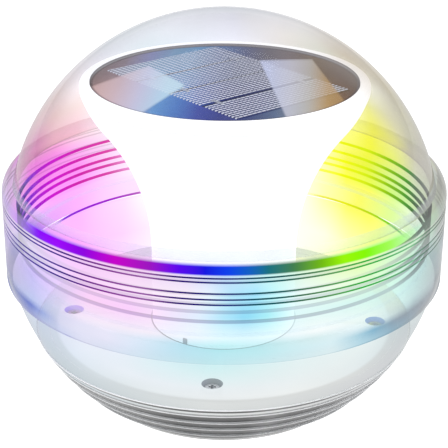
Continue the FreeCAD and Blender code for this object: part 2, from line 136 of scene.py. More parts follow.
# fine grain for the gloss to catch
def relief(tree, look):
    place = addNode(tree, "ShaderNodeTexCoord").outputs["Object"]
    grain = addNode(tree, "ShaderNodeTexNoise",
                    {"Vector": place, "Scale": 1 / (look["grainSize"] * mm), "Detail": 2.0}).outputs[0]
    return addNode(tree, "ShaderNodeBump",
                   {"Strength": look["grainDepth"], "Distance": 0.0002, "Height": grain}).outputs[0]


# see-through plastic with painted lamp light: filter and painted glow share one colour, gloss lies on top
def glowPlastic(name, look):
    material, tree = startMaterial(name)
    share, height, radius = aroundAxis(tree)
    along = radius if look.get("byRadius") else height
    colour, cover = glowChart(tree, along, share, look["chart"])
    colour = flowMarks(tree, colour, look)
    through = addNode(tree, "ShaderNodeBsdfTransparent", {0: colour}).outputs[0]
    # painted glow: emission in the chart's colour stands in for lamp light in the wall
    paintedGlow = addNode(tree, "ShaderNodeEmission", {0: colour, 1: 1.0}).outputs[0]
    wall = addNode(tree, "ShaderNodeMixShader", {0: cover, 1: through, 2: paintedGlow}).outputs[0]
    facing = addNode(tree, "ShaderNodeLayerWeight", {0: 0.5}).outputs["Facing"]
    edge = addNode(tree, "ShaderNodeMath", {0: facing, 1: look["edgePower"]}, operation="POWER").outputs[0]
    edge = addNode(tree, "ShaderNodeMath", {0: edge, 1: look["edgeDepth"]}, operation="MULTIPLY").outputs[0]
    dimmed = addNode(tree, "ShaderNodeBsdfTransparent", {0: hexColour(look["edgeColour"])}).outputs[0]
    wall = addNode(tree, "ShaderNodeMixShader", {0: edge, 1: wall, 2: dimmed}).outputs[0]
    bump = relief(tree, look)
    # the same on both faces of a wall, so a far wall seen from within keeps its colour
    shine = addNode(tree, "ShaderNodeMath", {0: facing, 1: 5.0}, operation="POWER").outputs[0]
    shine = addNode(tree, "ShaderNodeMath", {0: shine, 1: look["shine"]}, operation="MULTIPLY").outputs[0]
    gloss = addNode(tree, "ShaderNodeBsdfGlossy", {"Roughness": look["roughness"],
                                                   "Normal": bump}).outputs[0]
    wall = addNode(tree, "ShaderNodeMixShader", {0: shine, 1: wall, 2: gloss}).outputs[0]
    return endMaterial(material, tree, wall)


# opaque moulded, plated or printed surface, with uneven colour and grain
def solidSurface(name, look):
    material, tree = startMaterial(name)
    colour = flowMarks(tree, hexColour(look["colour"])[:3], look)
    surface = addNode(tree, "ShaderNodeBsdfPrincipled", {
        "Base Color": colour, "Roughness": look["roughness"], "Metallic": look.get("metallic", 0.0),
        "IOR": 1.5, "Normal": relief(tree, look)}).outputs[0]
    return endMaterial(material, tree, surface)


# an arc of profile points in mm about a centre, from one angle to another in degrees
def arcPoints(centre, radius, start, end, count):
    angles = [math.radians(start + (end - start) * i / count) for i in range(count + 1)]
    return [(centre[0] + radius * math.cos(a), centre[1] + radius * math.sin(a)) for a in angles]


# points on the ball's sphere between two heights in mm
def ballPoints(radius, high, low, count):
    start, end = (math.degrees(math.asin(max(-1, min(1, (z - ballCentre) / radius)))) for z in (high, low))
    return arcPoints((0, ballCentre), radius, start, end, count)


# turns a profile of (radius, height) mm about the axis; a profile runs from top to bottom
def turnedPiece(name, profile, materials, steps=128, wall=0.0, closed=False, smooth=True):
    mesh = bpy.data.meshes.new(name)
    last = len(profile) - 1
    edges = [(i, i + 1) for i in range(last)]
    if closed:
        edges.append((last, 0))
    mesh.from_pydata([(r * mm, 0, z * mm) for r, z in profile], edges, [])
    piece = bpy.data.objects.new(name, mesh)
    bpy.context.scene.collection.objects.link(piece)
    screw = piece.modifiers.new("turn", "SCREW")
    screw.steps = screw.render_steps = steps
    screw.use_merge_vertices = True
    screw.merge_threshold = 0.00002
    screw.use_smooth_shade = smooth
    if wall:
        solid = piece.modifiers.new("wall", "SOLIDIFY")
        solid.thickness = wall * mm
        solid.offset = -1
        solid.use_even_offset = True
        solid.material_offset = 1 if len(materials) > 1 else 0
    for material in materials:
        mesh.materials.append(material)
    return piece


def finishPiece(piece, body, slot, *replaced):
    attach(piece, body)
    if replaced:
        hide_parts(*replaced)


print("stage: camera and studio")
view = {"target": (0, 0, 0.05896), "distance": 0.4493, "azimuth": 4.1, "elevation": 22.9, "roll": 0.35,
        "lens": 104.46}
azimuth, elevation = math.radians(view["azimuth"]), math.radians(view["elevation"])
toCamera = Vector((math.sin(azimuth) * math.cos(elevation), -math.cos(azimuth) * math.cos(elevation),
                   math.sin(elevation)))
camera = bpy.data.objects.new("camera", bpy.data.cameras.new("camera"))
bpy.context.scene.collection.objects.link(camera)
camera.location = Vector(view["target"]) + toCamera * view["distance"]
aim = (-toCamera).to_track_quat("-Z", "Y").to_matrix().to_4x4()
tilt = Matrix.Rotation(math.radians(view["roll"]), 4, "Z")
camera.matrix_world = Matrix.Translation(camera.location) @ aim @ tilt
camera.data.lens = view["lens"]
camera.data.sensor_width = 36
camera.data.clip_start = 0.01
bpy.context.scene.camera = camera
bpy.context.scene.view_settings.view_transform = "Standard"   # lamp colours stay as bright as they are
bpy.context.scene.cycles.transparent_max_bounces = 32         # a ray may cross every clear wall

studio = {"sky": "#ffffff", "floorShine": "#f4f5f7", "horizon": "#d4d8de", "ceiling": "#f6f8fb"}
world = bpy.data.worlds.new("studio")
bpy.context.scene.world = world
world.use_nodes = True
tree = world.node_tree
tree.nodes.clear()
direction = addNode(tree, "ShaderNodeTexCoord").outputs["Generated"]
up = addNode(tree, "ShaderNodeSeparateXYZ", {0: direction}).outputs["Z"]
height = addNode(tree, "ShaderNodeMapRange", {0: up, 1: -1.0, 2: 1.0}).outputs[0]
room = addNode(tree, "ShaderNodeValToRGB", {0: height}, stops=[
    (0.0, hexColour(studio["floorShine"])), (0.45, hexColour(studio["horizon"])),
    (0.7, hexColour(studio["horizon"])), (1.0, hexColour(studio["ceiling"]))]).outputs[0]
seen = addNode(tree, "ShaderNodeLightPath").outputs["Is Camera Ray"]
shade = addNode(tree, "ShaderNodeMix", {0: seen, 6: room, 7: hexColour(studio["sky"])},
                data_type="RGBA").outputs[2]
sky = addNode(tree, "ShaderNodeBackground", {0: shade, 1: 1.0}).outputs[0]
addNode(tree, "ShaderNodeOutputWorld", {0: sky})

softboxes = {
    "keyBox": {"place": (-0.7, -0.7, 1.0), "size": 0.7, "power": 9.0},
    "fillBox": {"place": (0.9, -0.5, 0.6), "size": 0.6, "power": 4.0},
    "topBox": {"place": (0.0, 0.3, 1.3), "size": 0.8, "power": 7.0}}
for name, box in softboxes.items():
    lamp = bpy.data.lights.new(name, "AREA")
    lamp.size = box["size"]
    lamp.energy = box["power"]
    holder = bpy.data.objects.new(name, lamp)
    holder.location = box["place"]
    holder.rotation_euler = (Vector((0, 0, 0.06)) - Vector(box["place"])).to_track_quat("-Z",
                                                                                        "Y").to_euler()
    bpy.context.scene.collection.objects.link(holder)

# matt white board, lit enough to burn out to white round the object
material, tree = startMaterial("paintedStudioFloor")
board = flowMarks(tree, hexColour("#484848")[:3], {"flowSize": 60, "flowDepth": 0.01})
matt = addNode(tree, "ShaderNodeBsdfDiffuse", {0: board}).outputs[0]
lit = addNode(tree, "ShaderNodeEmission", {0: hexColour("#ffffff"), 1: 1.22}).outputs[0]
floorShader = addNode(tree, "ShaderNodeAddShader", {0: matt, 1: lit}).outputs[0]
endMaterial(material, tree, floorShader)
floorMesh = bpy.data.meshes.new("studioFloor")
reach = 6.0
floorMesh.from_pydata([(-reach, -reach, 0), (reach, -reach, 0), (reach, reach, 0), (-reach, reach, 0)], [],
                      [(0, 1, 2, 3)])
floorMesh.materials.append(material)
studioFloor = bpy.data.objects.new("studioFloor", floorMesh)
bpy.context.scene.collection.objects.link(studioFloor)

print("piece: dome")
# polycarbonate blown clear and polished: faint grey at the rim, painted lamp light in the far wall, a
# greyer painted glow over the top
domeLook = {
    "roughness": 0.03, "shine": 0.55, "flowSize": 40, "flowDepth": 0.012,
    "grainSize": 3.0, "grainDepth": 0.02, "edgePower": 5.0, "edgeDepth": 0.35, "edgeColour": "#a8a8ae",
    "chart": {
        79: {-180: ("#fefefe", 0.3), -146: ("#fefefe", 0.39), -135: ("#fdf0f4", 0.52),
             -125: ("#f8d0da", 0.65),
             -115: ("#f2c0cc", 0.78), -103: ("#da8bbb", 0.78), -92: ("#d8a0c4", 0.5), -80: ("#e8d0e0", 0.3),
             -62: ("#ffffff", 0.0), 60: ("#ffffff", 0.0), 85: ("#c8c6b8", 0.4), 105: ("#c4c0b5", 0.78),
             115: ("#cdc8b2", 0.78), 123: ("#e6e394", 0.78), 133: ("#f4f25c", 0.78), 140: ("#fbfb9c", 0.65),
             147: ("#fffff4", 0.39), 180: ("#fefefe", 0.3)},
        88: {-180: ("#fefefe", 0.3), -140: ("#fffdfa", 0.39), -125: ("#f5e0dd", 0.52),
             -112: ("#e4c5c0", 0.65),
             -96: ("#d9afc3", 0.5), -85: ("#dcbccc", 0.4), -62: ("#ffffff", 0.0), 62: ("#ffffff", 0.0),
             90: ("#c6c2b6", 0.5), 105: ("#c4c0b5", 0.65), 121: ("#d9d6b7", 0.65), 134: ("#eceb8e", 0.65),
             144: ("#fdfdf4", 0.39), 180: ("#fefefe", 0.3)},
        98: {-180: ("#f6f6fa", 0.3), -135: ("#fbf8f6", 0.39), -119: ("#fcf3f4", 0.39),
             -107: ("#dcc5bd", 0.52),
             -92: ("#dcc8c8", 0.4), -65: ("#ffffff", 0.0), 65: ("#ffffff", 0.0), 95: ("#ccc9ba", 0.4),
             116: ("#ccc9ba", 0.52), 128: ("#f7f9eb", 0.39), 140: ("#f8f8f0", 0.39), 180: ("#f6f6fa", 0.3)},
        110: {-180: ("#e9eaf2", 0.4), -143: ("#e0ebee", 0.52), -121: ("#edeaf1", 0.52),
              -105: ("#f0e8ec", 0.52),
              -85: ("#efe9ee", 0.3), -60: ("#ffffff", 0.0), 60: ("#ffffff", 0.0), 88: ("#dcd4c2", 0.4),
              115: ("#d8cfb8", 0.65), 130: ("#d8cfb2", 0.65), 145: ("#dddfd1", 0.52), 160: ("#e4e0da", 0.4),
              180: ("#e9eaf2", 0.4)},
        122: {-180: ("#dfdfe7", 0.5), -163: ("#e5e6eb", 0.5), -149: ("#f2f3f8", 0.52),
              -129: ("#e9eef1", 0.52),
              -85: ("#e8ecf0", 0.3), -55: ("#fafafc", 0.02), 0: ("#ffffff", 0.0), 50: ("#fafafc", 0.02),
              80: ("#e6ded6", 0.3), 110: ("#ddd4c8", 0.65), 138: ("#f4f0ee", 0.52), 159: ("#f0ebe8", 0.4),
              172: ("#e5e2e2", 0.5), 180: ("#dfdfe7", 0.5)},
        129: {-180: ("#eceef2", 0.4), -60: ("#f6f7fa", 0.1), 0: ("#fcfcff", 0.02), 60: ("#f6f5f4", 0.1),
              180: ("#eceef2", 0.4)},
        132: {-180: ("#eceef2", 0.3), 0: ("#f4f4f8", 0.15), 180: ("#eceef2", 0.3)}}}
domeGlow = glowPlastic("polycarbonateBlownClear", domeLook)
# the polished inner face of a clear wall: a faint gloss over a trace of painted glow
innerLook = {
    "roughness": 0.05, "shine": 0.012, "flowSize": 30, "flowDepth": 0.01,
    "grainSize": 3.0, "grainDepth": 0.02, "edgePower": 5.0, "edgeDepth": 0.004, "edgeColour": "#d8d8dc",
    "chart": {0: {-180: ("#fdfdfe", 0.01), 180: ("#fdfdfe", 0.01)}}}
innerFace = glowPlastic("polycarbonateInnerFace", innerLook)

dome = {"radius": 73.3, "wall": 2.2, "edge": 77.0}
domeShell = turnedPiece("domeShell", ballPoints(dome["radius"], ballCentre + dome["radius"], dome["edge"],
                                                36),
                        [domeGlow, innerFace], fineSteps, dome["wall"])
finishPiece(domeShell, "dome", "clear_dome", "dome_lens")

print("piece: collar")
clear = ("#fbfbfc", 0.05)
# the shoulder's painted lamp light: every lamp colour in turn, strongest at the front
collarBand = {
    -180: ("#fefefe", 0.4), -146: ("#fdfdfe", 0.4), -129: ("#fbd0e0", 0.5), -119: ("#f0a0d0", 0.5),
    -105: ("#e07ccc", 0.5), -92: ("#c8a0cc", 0.5), -75: ("#e0d8f4", 0.3), -58: ("#d8c0f4", 0.4),
    -46: ("#8a00ff", 0.85), -38: ("#9a08f8", 0.9), -30: ("#8a08e0", 0.9), -21: ("#c808cc", 0.9),
    -13: ("#a018c0", 0.9), -6: ("#5a08ee", 0.9), 0: ("#1818e0", 0.9), 5: ("#1040ec", 0.9),
    10: ("#1460c0", 0.9), 14: ("#1b7180", 0.9), 20: ("#427e4d", 0.9), 26: ("#6eb416", 0.9),
    32: ("#98f40b", 0.9), 39: ("#83f809", 0.9), 46: ("#a8f860", 0.6), 58: ("#dff7e6", 0.2),
    80: ("#ccccc8", 0.4), 99: ("#b5b5b0", 0.5), 116: ("#cdc8b2", 0.5), 128: ("#eeef89", 0.6),
    137: ("#fafa40", 0.7), 146: ("#fcfc90", 0.5), 154: ("#fffff4", 0.4), 180: ("#fefefe", 0.4)}
# the collar's foot: painted lamp light, with painted dark reflections to either side
collarFoot = {
    -180: ("#fdf6fe", 0.4), -145: ("#ffdcfe", 0.65), -128: ("#ffb2ff", 0.65), -112: ("#e0a0f4", 0.65),
    -100: ("#4058b4", 0.91), -85: ("#2c3c80", 0.85), -70: ("#3a50a8", 0.85), -52: ("#4663c9", 0.8),
    -44: ("#c8d4f4", 0.4), -30: ("#e7e9f8", 0.3), 0: ("#d8f0f4", 0.3), 30: ("#e4f3f6", 0.3),
    38: ("#b8dcea", 0.4), 48: ("#86b4cc", 0.6), 62: ("#707a88", 0.7), 84: ("#606878", 0.7),
    100: ("#a8b4b8", 0.65), 113: ("#e3f1e2", 0.52), 126: ("#ddfd98", 0.65), 140: ("#ffff60", 0.78),
    153: ("#ffffb0", 0.5), 165: ("#fffffd", 0.4), 180: ("#fdf6fe", 0.4)}
collarChart = {
    44.3: collarFoot,
    45.7: {**collarFoot, -100: ("#5068c0", 0.91), -85: ("#3a4c98", 0.85), -70: ("#4058b4", 0.85),
           -52: ("#5a74d0", 0.8), 62: ("#7c8896", 0.7), 84: ("#6c7684", 0.7)},
    49.0: {-180: ("#fdfafe", 0.4), -145: ("#ffdcfe", 0.65), -128: ("#ffb2ff", 0.65),
           -112: ("#e8acf8", 0.65),
           -98: ("#b0a0dc", 0.78), -84: ("#6870a8", 0.8), -70: ("#505c98", 0.85), -60: ("#4660b8", 0.85),
           -51: ("#4663c9", 0.8), -45: ("#a8b8ec", 0.5), -38: ("#e4e6f5", 0.4), -24: ("#f1f1fd", 0.3),
           -4: ("#d2f0f8", 0.4), 12: ("#d2f3f6", 0.4), 30: ("#e0f4f8", 0.4), 37: ("#b4d8e6", 0.5),
           42: ("#84b5cf", 0.7), 50: ("#98a8b6", 0.7), 60: ("#8c98a2", 0.8), 77: ("#8c98a0", 0.7),
           93: ("#a0a8a8", 0.6), 104: ("#d0e8dc", 0.65), 113: ("#e3f1e2", 0.65), 126: ("#ddfd98", 0.65),
           140: ("#ffff60", 0.78), 153: ("#ffffb0", 0.5), 165: ("#fffffd", 0.4), 180: ("#fdfafe", 0.4)},
    51.6: {-180: ("#fdfafe", 0.4), -153: ("#fdf6fe", 0.4), -145: ("#ffdcfe", 0.52), -137: ("#ffc8ff", 0.52),
         -128: ("#ffb2ff", 0.52), -118: ("#ffa6ff", 0.52), -106: ("#f0b4fb", 0.52), -95: ("#dcb8ee", 0.4),
         -84: ("#c4bce0", 0.4), -65: ("#c8c8ee", 0.4), -50: ("#c8d4f5", 0.4), -39: ("#e4e6f5", 0.35),
         -24: ("#f1f1fd", 0.35), -12: ("#e2f2fc", 0.35), -4: ("#d2f0f8", 0.35), 4: ("#c8f3f5", 0.35),
         12: ("#d2f3f6", 0.35), 26: ("#dcf1f2", 0.35), 36: ("#eaf7fb", 0.35), 48: ("#e4f4f6", 0.4),
         58: ("#c0d0d6", 0.4), 77: ("#c2cacd", 0.4), 93: ("#c0c8c8", 0.4), 104: ("#d0e8dc", 0.52),
         113: ("#e3f1e2", 0.52), 126: ("#ddfd98", 0.52), 136: ("#ffff5f", 0.78), 145: ("#feff6a", 0.78),
         153: ("#ffffb0", 0.4), 165: ("#fffffd", 0.4), 180: ("#fdfafe", 0.4)},
    54: {-180: ("#fefefe", 0.4), -153: ("#fcfafd", 0.4), -145: ("#ffe4fb", 0.65), -137: ("#fbc4fd", 0.65),
         -128: ("#ff9bff", 0.78), -118: ("#ff9bfb", 0.78), -106: ("#ff96ff", 0.78), -95: ("#e4b0f4", 0.5),
         -86: ("#d0c0e4", 0.5), -64: ("#d0c8ea", 0.5), -49: ("#cbd1f5", 0.5), -39: ("#ecebfb", 0.35),
         -31: ("#fbf4fd", 0.35), -12: ("#fbf6fe", 0.35), -1: ("#f2f9fe", 0.35), 4: ("#e6f9fc", 0.35),
         9: ("#e2f7fb", 0.35), 15: ("#ecfcff", 0.35), 26: ("#fbffff", 0.35), 48: ("#ebfafb", 0.35),
         58: ("#cfe2e4", 0.4), 77: ("#c0cacf", 0.5), 96: ("#b8c0c0", 0.5), 106: ("#c0d4c0", 0.65),
         115: ("#c4e4a8", 0.65), 126: ("#cffb80", 0.78), 136: ("#ebff50", 0.78), 145: ("#ffff50", 0.78),
         153: ("#feffb4", 0.5), 161: ("#fffff7", 0.4), 180: ("#fefefe", 0.4)},
    61: {-180: ("#fefefe", 0.4), -153: ("#fefcfd", 0.4), -145: ("#fbe6f8", 0.65), -137: ("#f7bff0", 0.65),
         -128: ("#ff8ff5", 0.78), -118: ("#ff90f4", 0.78), -107: ("#f070e4", 0.78), -96: ("#e0a4e8", 0.5),
         -88: ("#d9c3ea", 0.5), -64: ("#d8d0f0", 0.5), -49: ("#d2ccf8", 0.5), -39: ("#e8dcfc", 0.65),
         -28: ("#ffdcfa", 0.65), -18: ("#fed5ff", 0.65), -12: ("#fcdffe", 0.65), -6: ("#ebe6fa", 0.65),
         -1: ("#dcecfc", 0.65), 4: ("#b1e4f7", 0.65), 9: ("#8dd7f2", 0.65), 14: ("#a8ebf4", 0.65),
         20: ("#e0fbfc", 0.65), 47: ("#dcf9f6", 0.65), 58: ("#cfe6e6", 0.4), 77: ("#bcc8cc", 0.5),
         96: ("#b4b9b5", 0.5), 115: ("#c8dfb5", 0.65), 127: ("#dbf88e", 0.78), 137: ("#ecfb3c", 0.91),
         145: ("#fdfc48", 0.91), 154: ("#fdfbb0", 0.5), 162: ("#fffffa", 0.4), 180: ("#fefefe", 0.4)},
    68: {-180: ("#fefefe", 0.4), -153: ("#fdfbfe", 0.4), -145: ("#fdf4fb", 0.52), -137: ("#f6d2ee", 0.65),
         -128: ("#ffb0f0", 0.65), -119: ("#f888e8", 0.78), -107: ("#ea70dd", 0.78), -98: ("#e0a0e0", 0.65),
         -88: ("#dac4e8", 0.5), -65: ("#e2dcf4", 0.4), -48: ("#e4dff5", 0.85), -39: ("#efdcff", 0.85),
         -30: ("#fbd8fd", 0.85), -17: ("#fde8fd", 0.85), -4: ("#f8eef9", 0.85), 1: ("#e8f6ff", 0.85),
         6: ("#b4e6fb", 0.85), 11: ("#a4e6ff", 0.85), 16: ("#c8fafd", 0.85), 22: ("#eefcfc", 0.85),
         32: ("#f1ffe9", 0.85), 39: ("#e2ffd8", 0.85), 57: ("#d4ebe8", 0.4), 75: ("#c0c4c2", 0.5),
         96: ("#b4b6b1", 0.5), 107: ("#c0c8b0", 0.65), 116: ("#cfd2b5", 0.65), 127: ("#e6f070", 0.78),
         137: ("#fafc38", 0.91), 146: ("#ffff79", 0.78), 156: ("#fdfde0", 0.4), 180: ("#fefefe", 0.4)},
    74.2: {-180: ("#fefefe", 0.4), -145: ("#fdfbfc", 0.52), -129: ("#fbd6dd", 0.65),
           -119: ("#f4a8d0", 0.65),
           -105: ("#da8bbb", 0.65), -92: ("#d0b0d0", 0.5), -80: ("#e4dcf0", 0.3), -50: ("#ece0f8", 0.88),
           -38: ("#f8d0ff", 0.88), -17: ("#f9d8f8", 0.88), -5: ("#e8d8f8", 0.88), 4: ("#c0d8fa", 0.88),
           14: ("#c8f4f4", 0.88), 24: ("#e4fbe0", 0.88), 36: ("#eaffb0", 0.88), 48: ("#dffbd8", 0.88),
           70: ("#d8dcd8", 0.3), 85: ("#bcbcb6", 0.5), 99: ("#b1b1af", 0.65), 116: ("#cdc8b2", 0.65),
           128: ("#eeef89", 0.78), 137: ("#f9f940", 0.91), 146: ("#fafa8a", 0.65), 155: ("#fffffa", 0.4),
           180: ("#fefefe", 0.4)},
    74.7: collarBand,
    77.0: collarBand,
    78.0: {-180: ("#fefefe", 0.4), -146: ("#fdfdfe", 0.52), -129: ("#fbd6dd", 0.65),
           -119: ("#f2b0cc", 0.65),
           -105: ("#da8bbb", 0.65), -92: ("#c8a0c8", 0.5), -75: ("#ece4f4", 0.2), -56: ("#f0e4f8", 0.1),
           -44: ("#e8d0ff", 0.1), -22: ("#fdeefd", 0.1), 0: ("#f4f6ff", 0.1), 20: ("#f8fcf8", 0.1),
           34: ("#f4ffe0", 0.1), 54: ("#f0f8f0", 0.1), 80: ("#ccccc8", 0.3), 99: ("#b9b9b4", 0.65),
           116: ("#cdc8b2", 0.65),
           123: ("#e6e394", 0.78), 137: ("#f7f73f", 0.91), 146: ("#fdfdd8", 0.52), 180: ("#fefefe", 0.4)},
    80.4: {-180: ("#fefefe", 0.4), -146: ("#fefefe", 0.52), -129: ("#fbd6dd", 0.65),
           -119: ("#f2c0cc", 0.65),
           -105: ("#da8bbb", 0.65), -92: ("#d0a8c8", 0.5), -75: ("#f0e8f4", 0.2), -50: clear, 54: clear,
           80: ("#d0d0cc", 0.3), 99: ("#bcbcb6", 0.65), 116: ("#cdc8b2", 0.65), 123: ("#e6e394", 0.78),
           137: ("#f7f73f", 0.91), 146: ("#fdfdd8", 0.52), 180: ("#fefefe", 0.4)}}
# acrylic moulded thick and clear, with painted lamp light that runs up the wall and leaves it at the
# shoulder
collarGlow = glowPlastic("acrylicMouldedClear", {
    "roughness": 0.04, "shine": 0.5, "flowSize": 30, "flowDepth": 0.015,
    "grainSize": 2.0, "grainDepth": 0.03, "edgePower": 6.0, "edgeDepth": 0.45, "edgeColour": "#9c9ca4",
    "chart": collarChart})

collar = {"radius": 75.0, "inner": 70.4, "seat": 71.5, "bottom": 44.25, "shoulder": 74.5, "round": 7.06,
          "grooves": [73.4, 72.1, 68.5, 66.6, 64.9], "grooveWidth": 0.55, "grooveDepth": 0.14,
          "ribs": [70.0, 66.0, 62.8, 60.2, 57.0], "ribWidth": 0.9, "ribHeight": 0.9,
          "grooveLip": 0.15, "foot": 73.0, "slope": [(75.0, 60.0), (74.97, 52.0), (74.9, 45.2)]}
roundCentre = (collar["radius"] - collar["round"], collar["shoulder"])
roundEnd = math.degrees(math.acos((collar["seat"] - roundCentre[0]) / collar["round"]))
outside = arcPoints(roundCentre, collar["round"], roundEnd, 0, 10)
half = collar["grooveWidth"] / 2
for z in collar["grooves"]:
    deep = collar["radius"] - collar["grooveDepth"]
    outside += [(collar["radius"], z + half + collar["grooveLip"]), (deep, z + half), (deep, z - half),
                (collar["radius"], z - half - collar["grooveLip"])]
outside += collar["slope"] + [(collar["foot"], collar["bottom"])]
collarOutside = turnedPiece("collarOutside", outside, [collarGlow], fineSteps)
finishPiece(collarOutside, "dome", "clear_collar", "collar_ring")
inside = [(collar["foot"], collar["bottom"]), (collar["inner"], collar["bottom"]), (collar["inner"], 56.0),
          (collar["inner"], dome["edge"]), (collar["seat"], dome["edge"]), outside[0]]
collarInside = turnedPiece("collarInside", inside, [innerFace], fineSteps)
finishPiece(collarInside, "dome", "clear_collar", "collar_ring")

# grooves cut in the collar hold a line of painted shade, coloured by painted lamp light where they face the
# lamps
grooveRing = {
    -180: ("#ffffff", 0.0), -100: ("#404050", 0.0), -92: ("#303040", 0.5), -84: ("#302c40", 0.5),
    -78: ("#8078a0", 0.1), -66: ("#9088c0", 0.1), -56: ("#6050a8", 0.5), -44: ("#45309b", 0.85),
    -36: ("#3b1a83", 0.9), -24: ("#803090", 0.9), -14: ("#9a60a8", 0.8), -7: ("#300c70", 0.95),
    0: ("#10106e", 0.95), 6: ("#304080", 0.9), 11: ("#10505e", 0.95), 17: ("#185a5c", 0.9),
    24: ("#50805a", 0.85), 30: ("#60a060", 0.8), 38: ("#30b040", 0.8), 46: ("#50b068", 0.6),
    56: ("#a0d0b0", 0.2), 66: ("#b0c0b8", 0.1), 82: ("#505850", 0.5), 94: ("#303430", 0.6),
    100: ("#303430", 0.3), 106: ("#ffffff", 0.0), 180: ("#ffffff", 0.0)}
# ribs inside the collar carry painted lamp light: magenta on the left, yellow-green on the right, clear in
# front and behind
ribRing = {
    -180: ("#ffffff", 0.0), -150: ("#ffffff", 0.0), -144: ("#f0a0d8", 0.4), -136: ("#e040a8", 0.85),
    -124: ("#d820b0", 0.95), -112: ("#d000d0", 0.95), -104: ("#b000d0", 0.9), -97: ("#8000d0", 0.8),
    -90: ("#8040c0", 0.0), 90: ("#506050", 0.0), 98: ("#405048", 0.6), 106: ("#406040", 0.8),
    114: ("#50a030", 0.9), 124: ("#90c800", 0.9), 134: ("#d8f000", 0.95), 144: ("#f8ff00", 0.95),
    152: ("#fcfc60", 0.6), 158: ("#ffffff", 0.0), 180: ("#ffffff", 0.0)}
lineLook = {"roughness": 0.2, "shine": 0.0, "flowSize": 12, "flowDepth": 0.06,
            "grainSize": 1.5, "grainDepth": 0.05, "edgePower": 6.0, "edgeDepth": 0.0,
            "edgeColour": "#8c8c96"}
grooveShadeAndLight = glowPlastic("acrylicGrooveShade", {**lineLook, "chart": {0: grooveRing}})
ribPaintedLight = glowPlastic("acrylicRibPaintedLight", {**lineLook, "chart": {0: ribRing}})

for number, z in enumerate(collar["grooves"], 1):
    line = turnedPiece("grooveLine%d" % number, [(deep + 0.04, z + half), (deep + 0.04, z - half)],
                       [grooveShadeAndLight], fineSteps)
    finishPiece(line, "dome", "clear_collar")
for number, z in enumerate(collar["ribs"], 1):
    half = collar["ribWidth"] / 2
    crest = collar["inner"] - collar["ribHeight"]
    rib = turnedPiece("innerRib%d" % number, [(collar["inner"], z - half), (crest, z - half * 0.6),
                                              (crest, z + half * 0.6), (collar["inner"], z + half)],
                                              [ribPaintedLight], fineSteps)
    finishPiece(rib, "dome", "clear_collar")

print("piece: seals")
sealLook = {"roughness": 0.35, "shine": 0.004, "flowSize": 8, "flowDepth": 0.01,
            "grainSize": 0.6, "grainDepth": 0.1, "edgePower": 3.0, "edgeDepth": 0.0,
            "edgeColour": "#e8ecf0",
            "chart": {0: {-180: ("#fafcfe", 0.06), 180: ("#fafcfe", 0.06)}}}
# silicone moulded soft and translucent: a satin skin with a faint painted glow that hardly shows in the
# joint
siliconeSeal = glowPlastic("siliconeMouldedTranslucent", sealLook)

print("piece: bowl")
bowl = {"radius": 74.8, "wall": 2.9, "low": 24.0, "floor": 23.7, "thick": 2.5, "rim": 70.05,
        "rimInner": 67.7,
        "rimTop": 54.0, "ledge": 43.95, "wells": [(53.7, 0.0), (-53.7, 0.0), (0.0, 48.7), (0.0, -48.7)],
        "wellRadius": 3.5, "wellBottom": 20.7, "fillet": 3.0, "opening": 12,
        "footGroove": (25.3, 25.5, 25.7), "plugFoot": 64.0, "plugTop": 65.4}
bowlChart = {
    24: {-180: ("#ffffff", 0.2), -150: ("#f8e4fb", 0.3), -132: ("#f7c6f5", 0.4), -116: ("#fab8fa", 0.4),
         -98: ("#e0d4f4", 0.4), -85: ("#d0d6e4", 0.4), -50: ("#d7e0e5", 0.4), -30: ("#e4eaec", 0.3),
         0: ("#eef0f0", 0.2), 30: ("#eceeee", 0.2), 50: ("#e3e4e6", 0.4), 91: ("#d4dcdc", 0.4),
         107: ("#d7f1e6", 0.4), 121: ("#e0fbcc", 0.4), 140: ("#fdffc0", 0.4), 158: ("#ffffe5", 0.3),
         180: ("#ffffff", 0.2)},
    31: {-180: ("#ffffff", 0.2), -150: ("#f8e0fb", 0.4), -141: ("#fec9ff", 0.4), -132: ("#f9bdf7", 0.4),
         -121: ("#ffb0ff", 0.5), -110: ("#fab8fa", 0.4), -98: ("#e4d0f4", 0.4), -85: ("#d8dce8", 0.4),
         -50: ("#e2eaf0", 0.3), -34: ("#f2f6f9", 0.2), -20: ("#fafcfd", 0.1), 20: ("#fafbfb", 0.1),
         40: ("#f4f6f6", 0.2), 57: ("#e6e8ea", 0.3), 91: ("#dce4e4", 0.3), 107: ("#d7f1e6", 0.4),
         119: ("#dbfbd4", 0.4), 129: ("#e8fd90", 0.4), 140: ("#fdffac", 0.4), 149: ("#ffffd6", 0.3),
         180: ("#ffffff", 0.2)},
    44: {-180: ("#ffffff", 0.2), -150: ("#fff0ff", 0.3), -143: ("#fdd4fe", 0.4), -135: ("#f8c4f9", 0.4),
         -126: ("#fcb0fc", 0.5), -115: ("#f0b0f4", 0.4), -100: ("#dfbdf0", 0.4), -85: ("#c8c4e0", 0.4),
         -60: ("#e4e9f2", 0.2), -48: ("#eef4fb", 0.2), -20: ("#f8fbfe", 0.1), 0: ("#f0fbfc", 0.1),
         20: ("#f6fcfc", 0.1), 52: ("#eef5f6", 0.2), 70: ("#dfe4e6", 0.3), 91: ("#c9cfcf", 0.4),
         107: ("#d7f1e6", 0.4), 121: ("#d4fb9a", 0.5), 134: ("#fffc50", 0.6), 143: ("#fefc58", 0.6),
         152: ("#fffea9", 0.4), 162: ("#fdfdf4", 0.2), 180: ("#ffffff", 0.2)}}
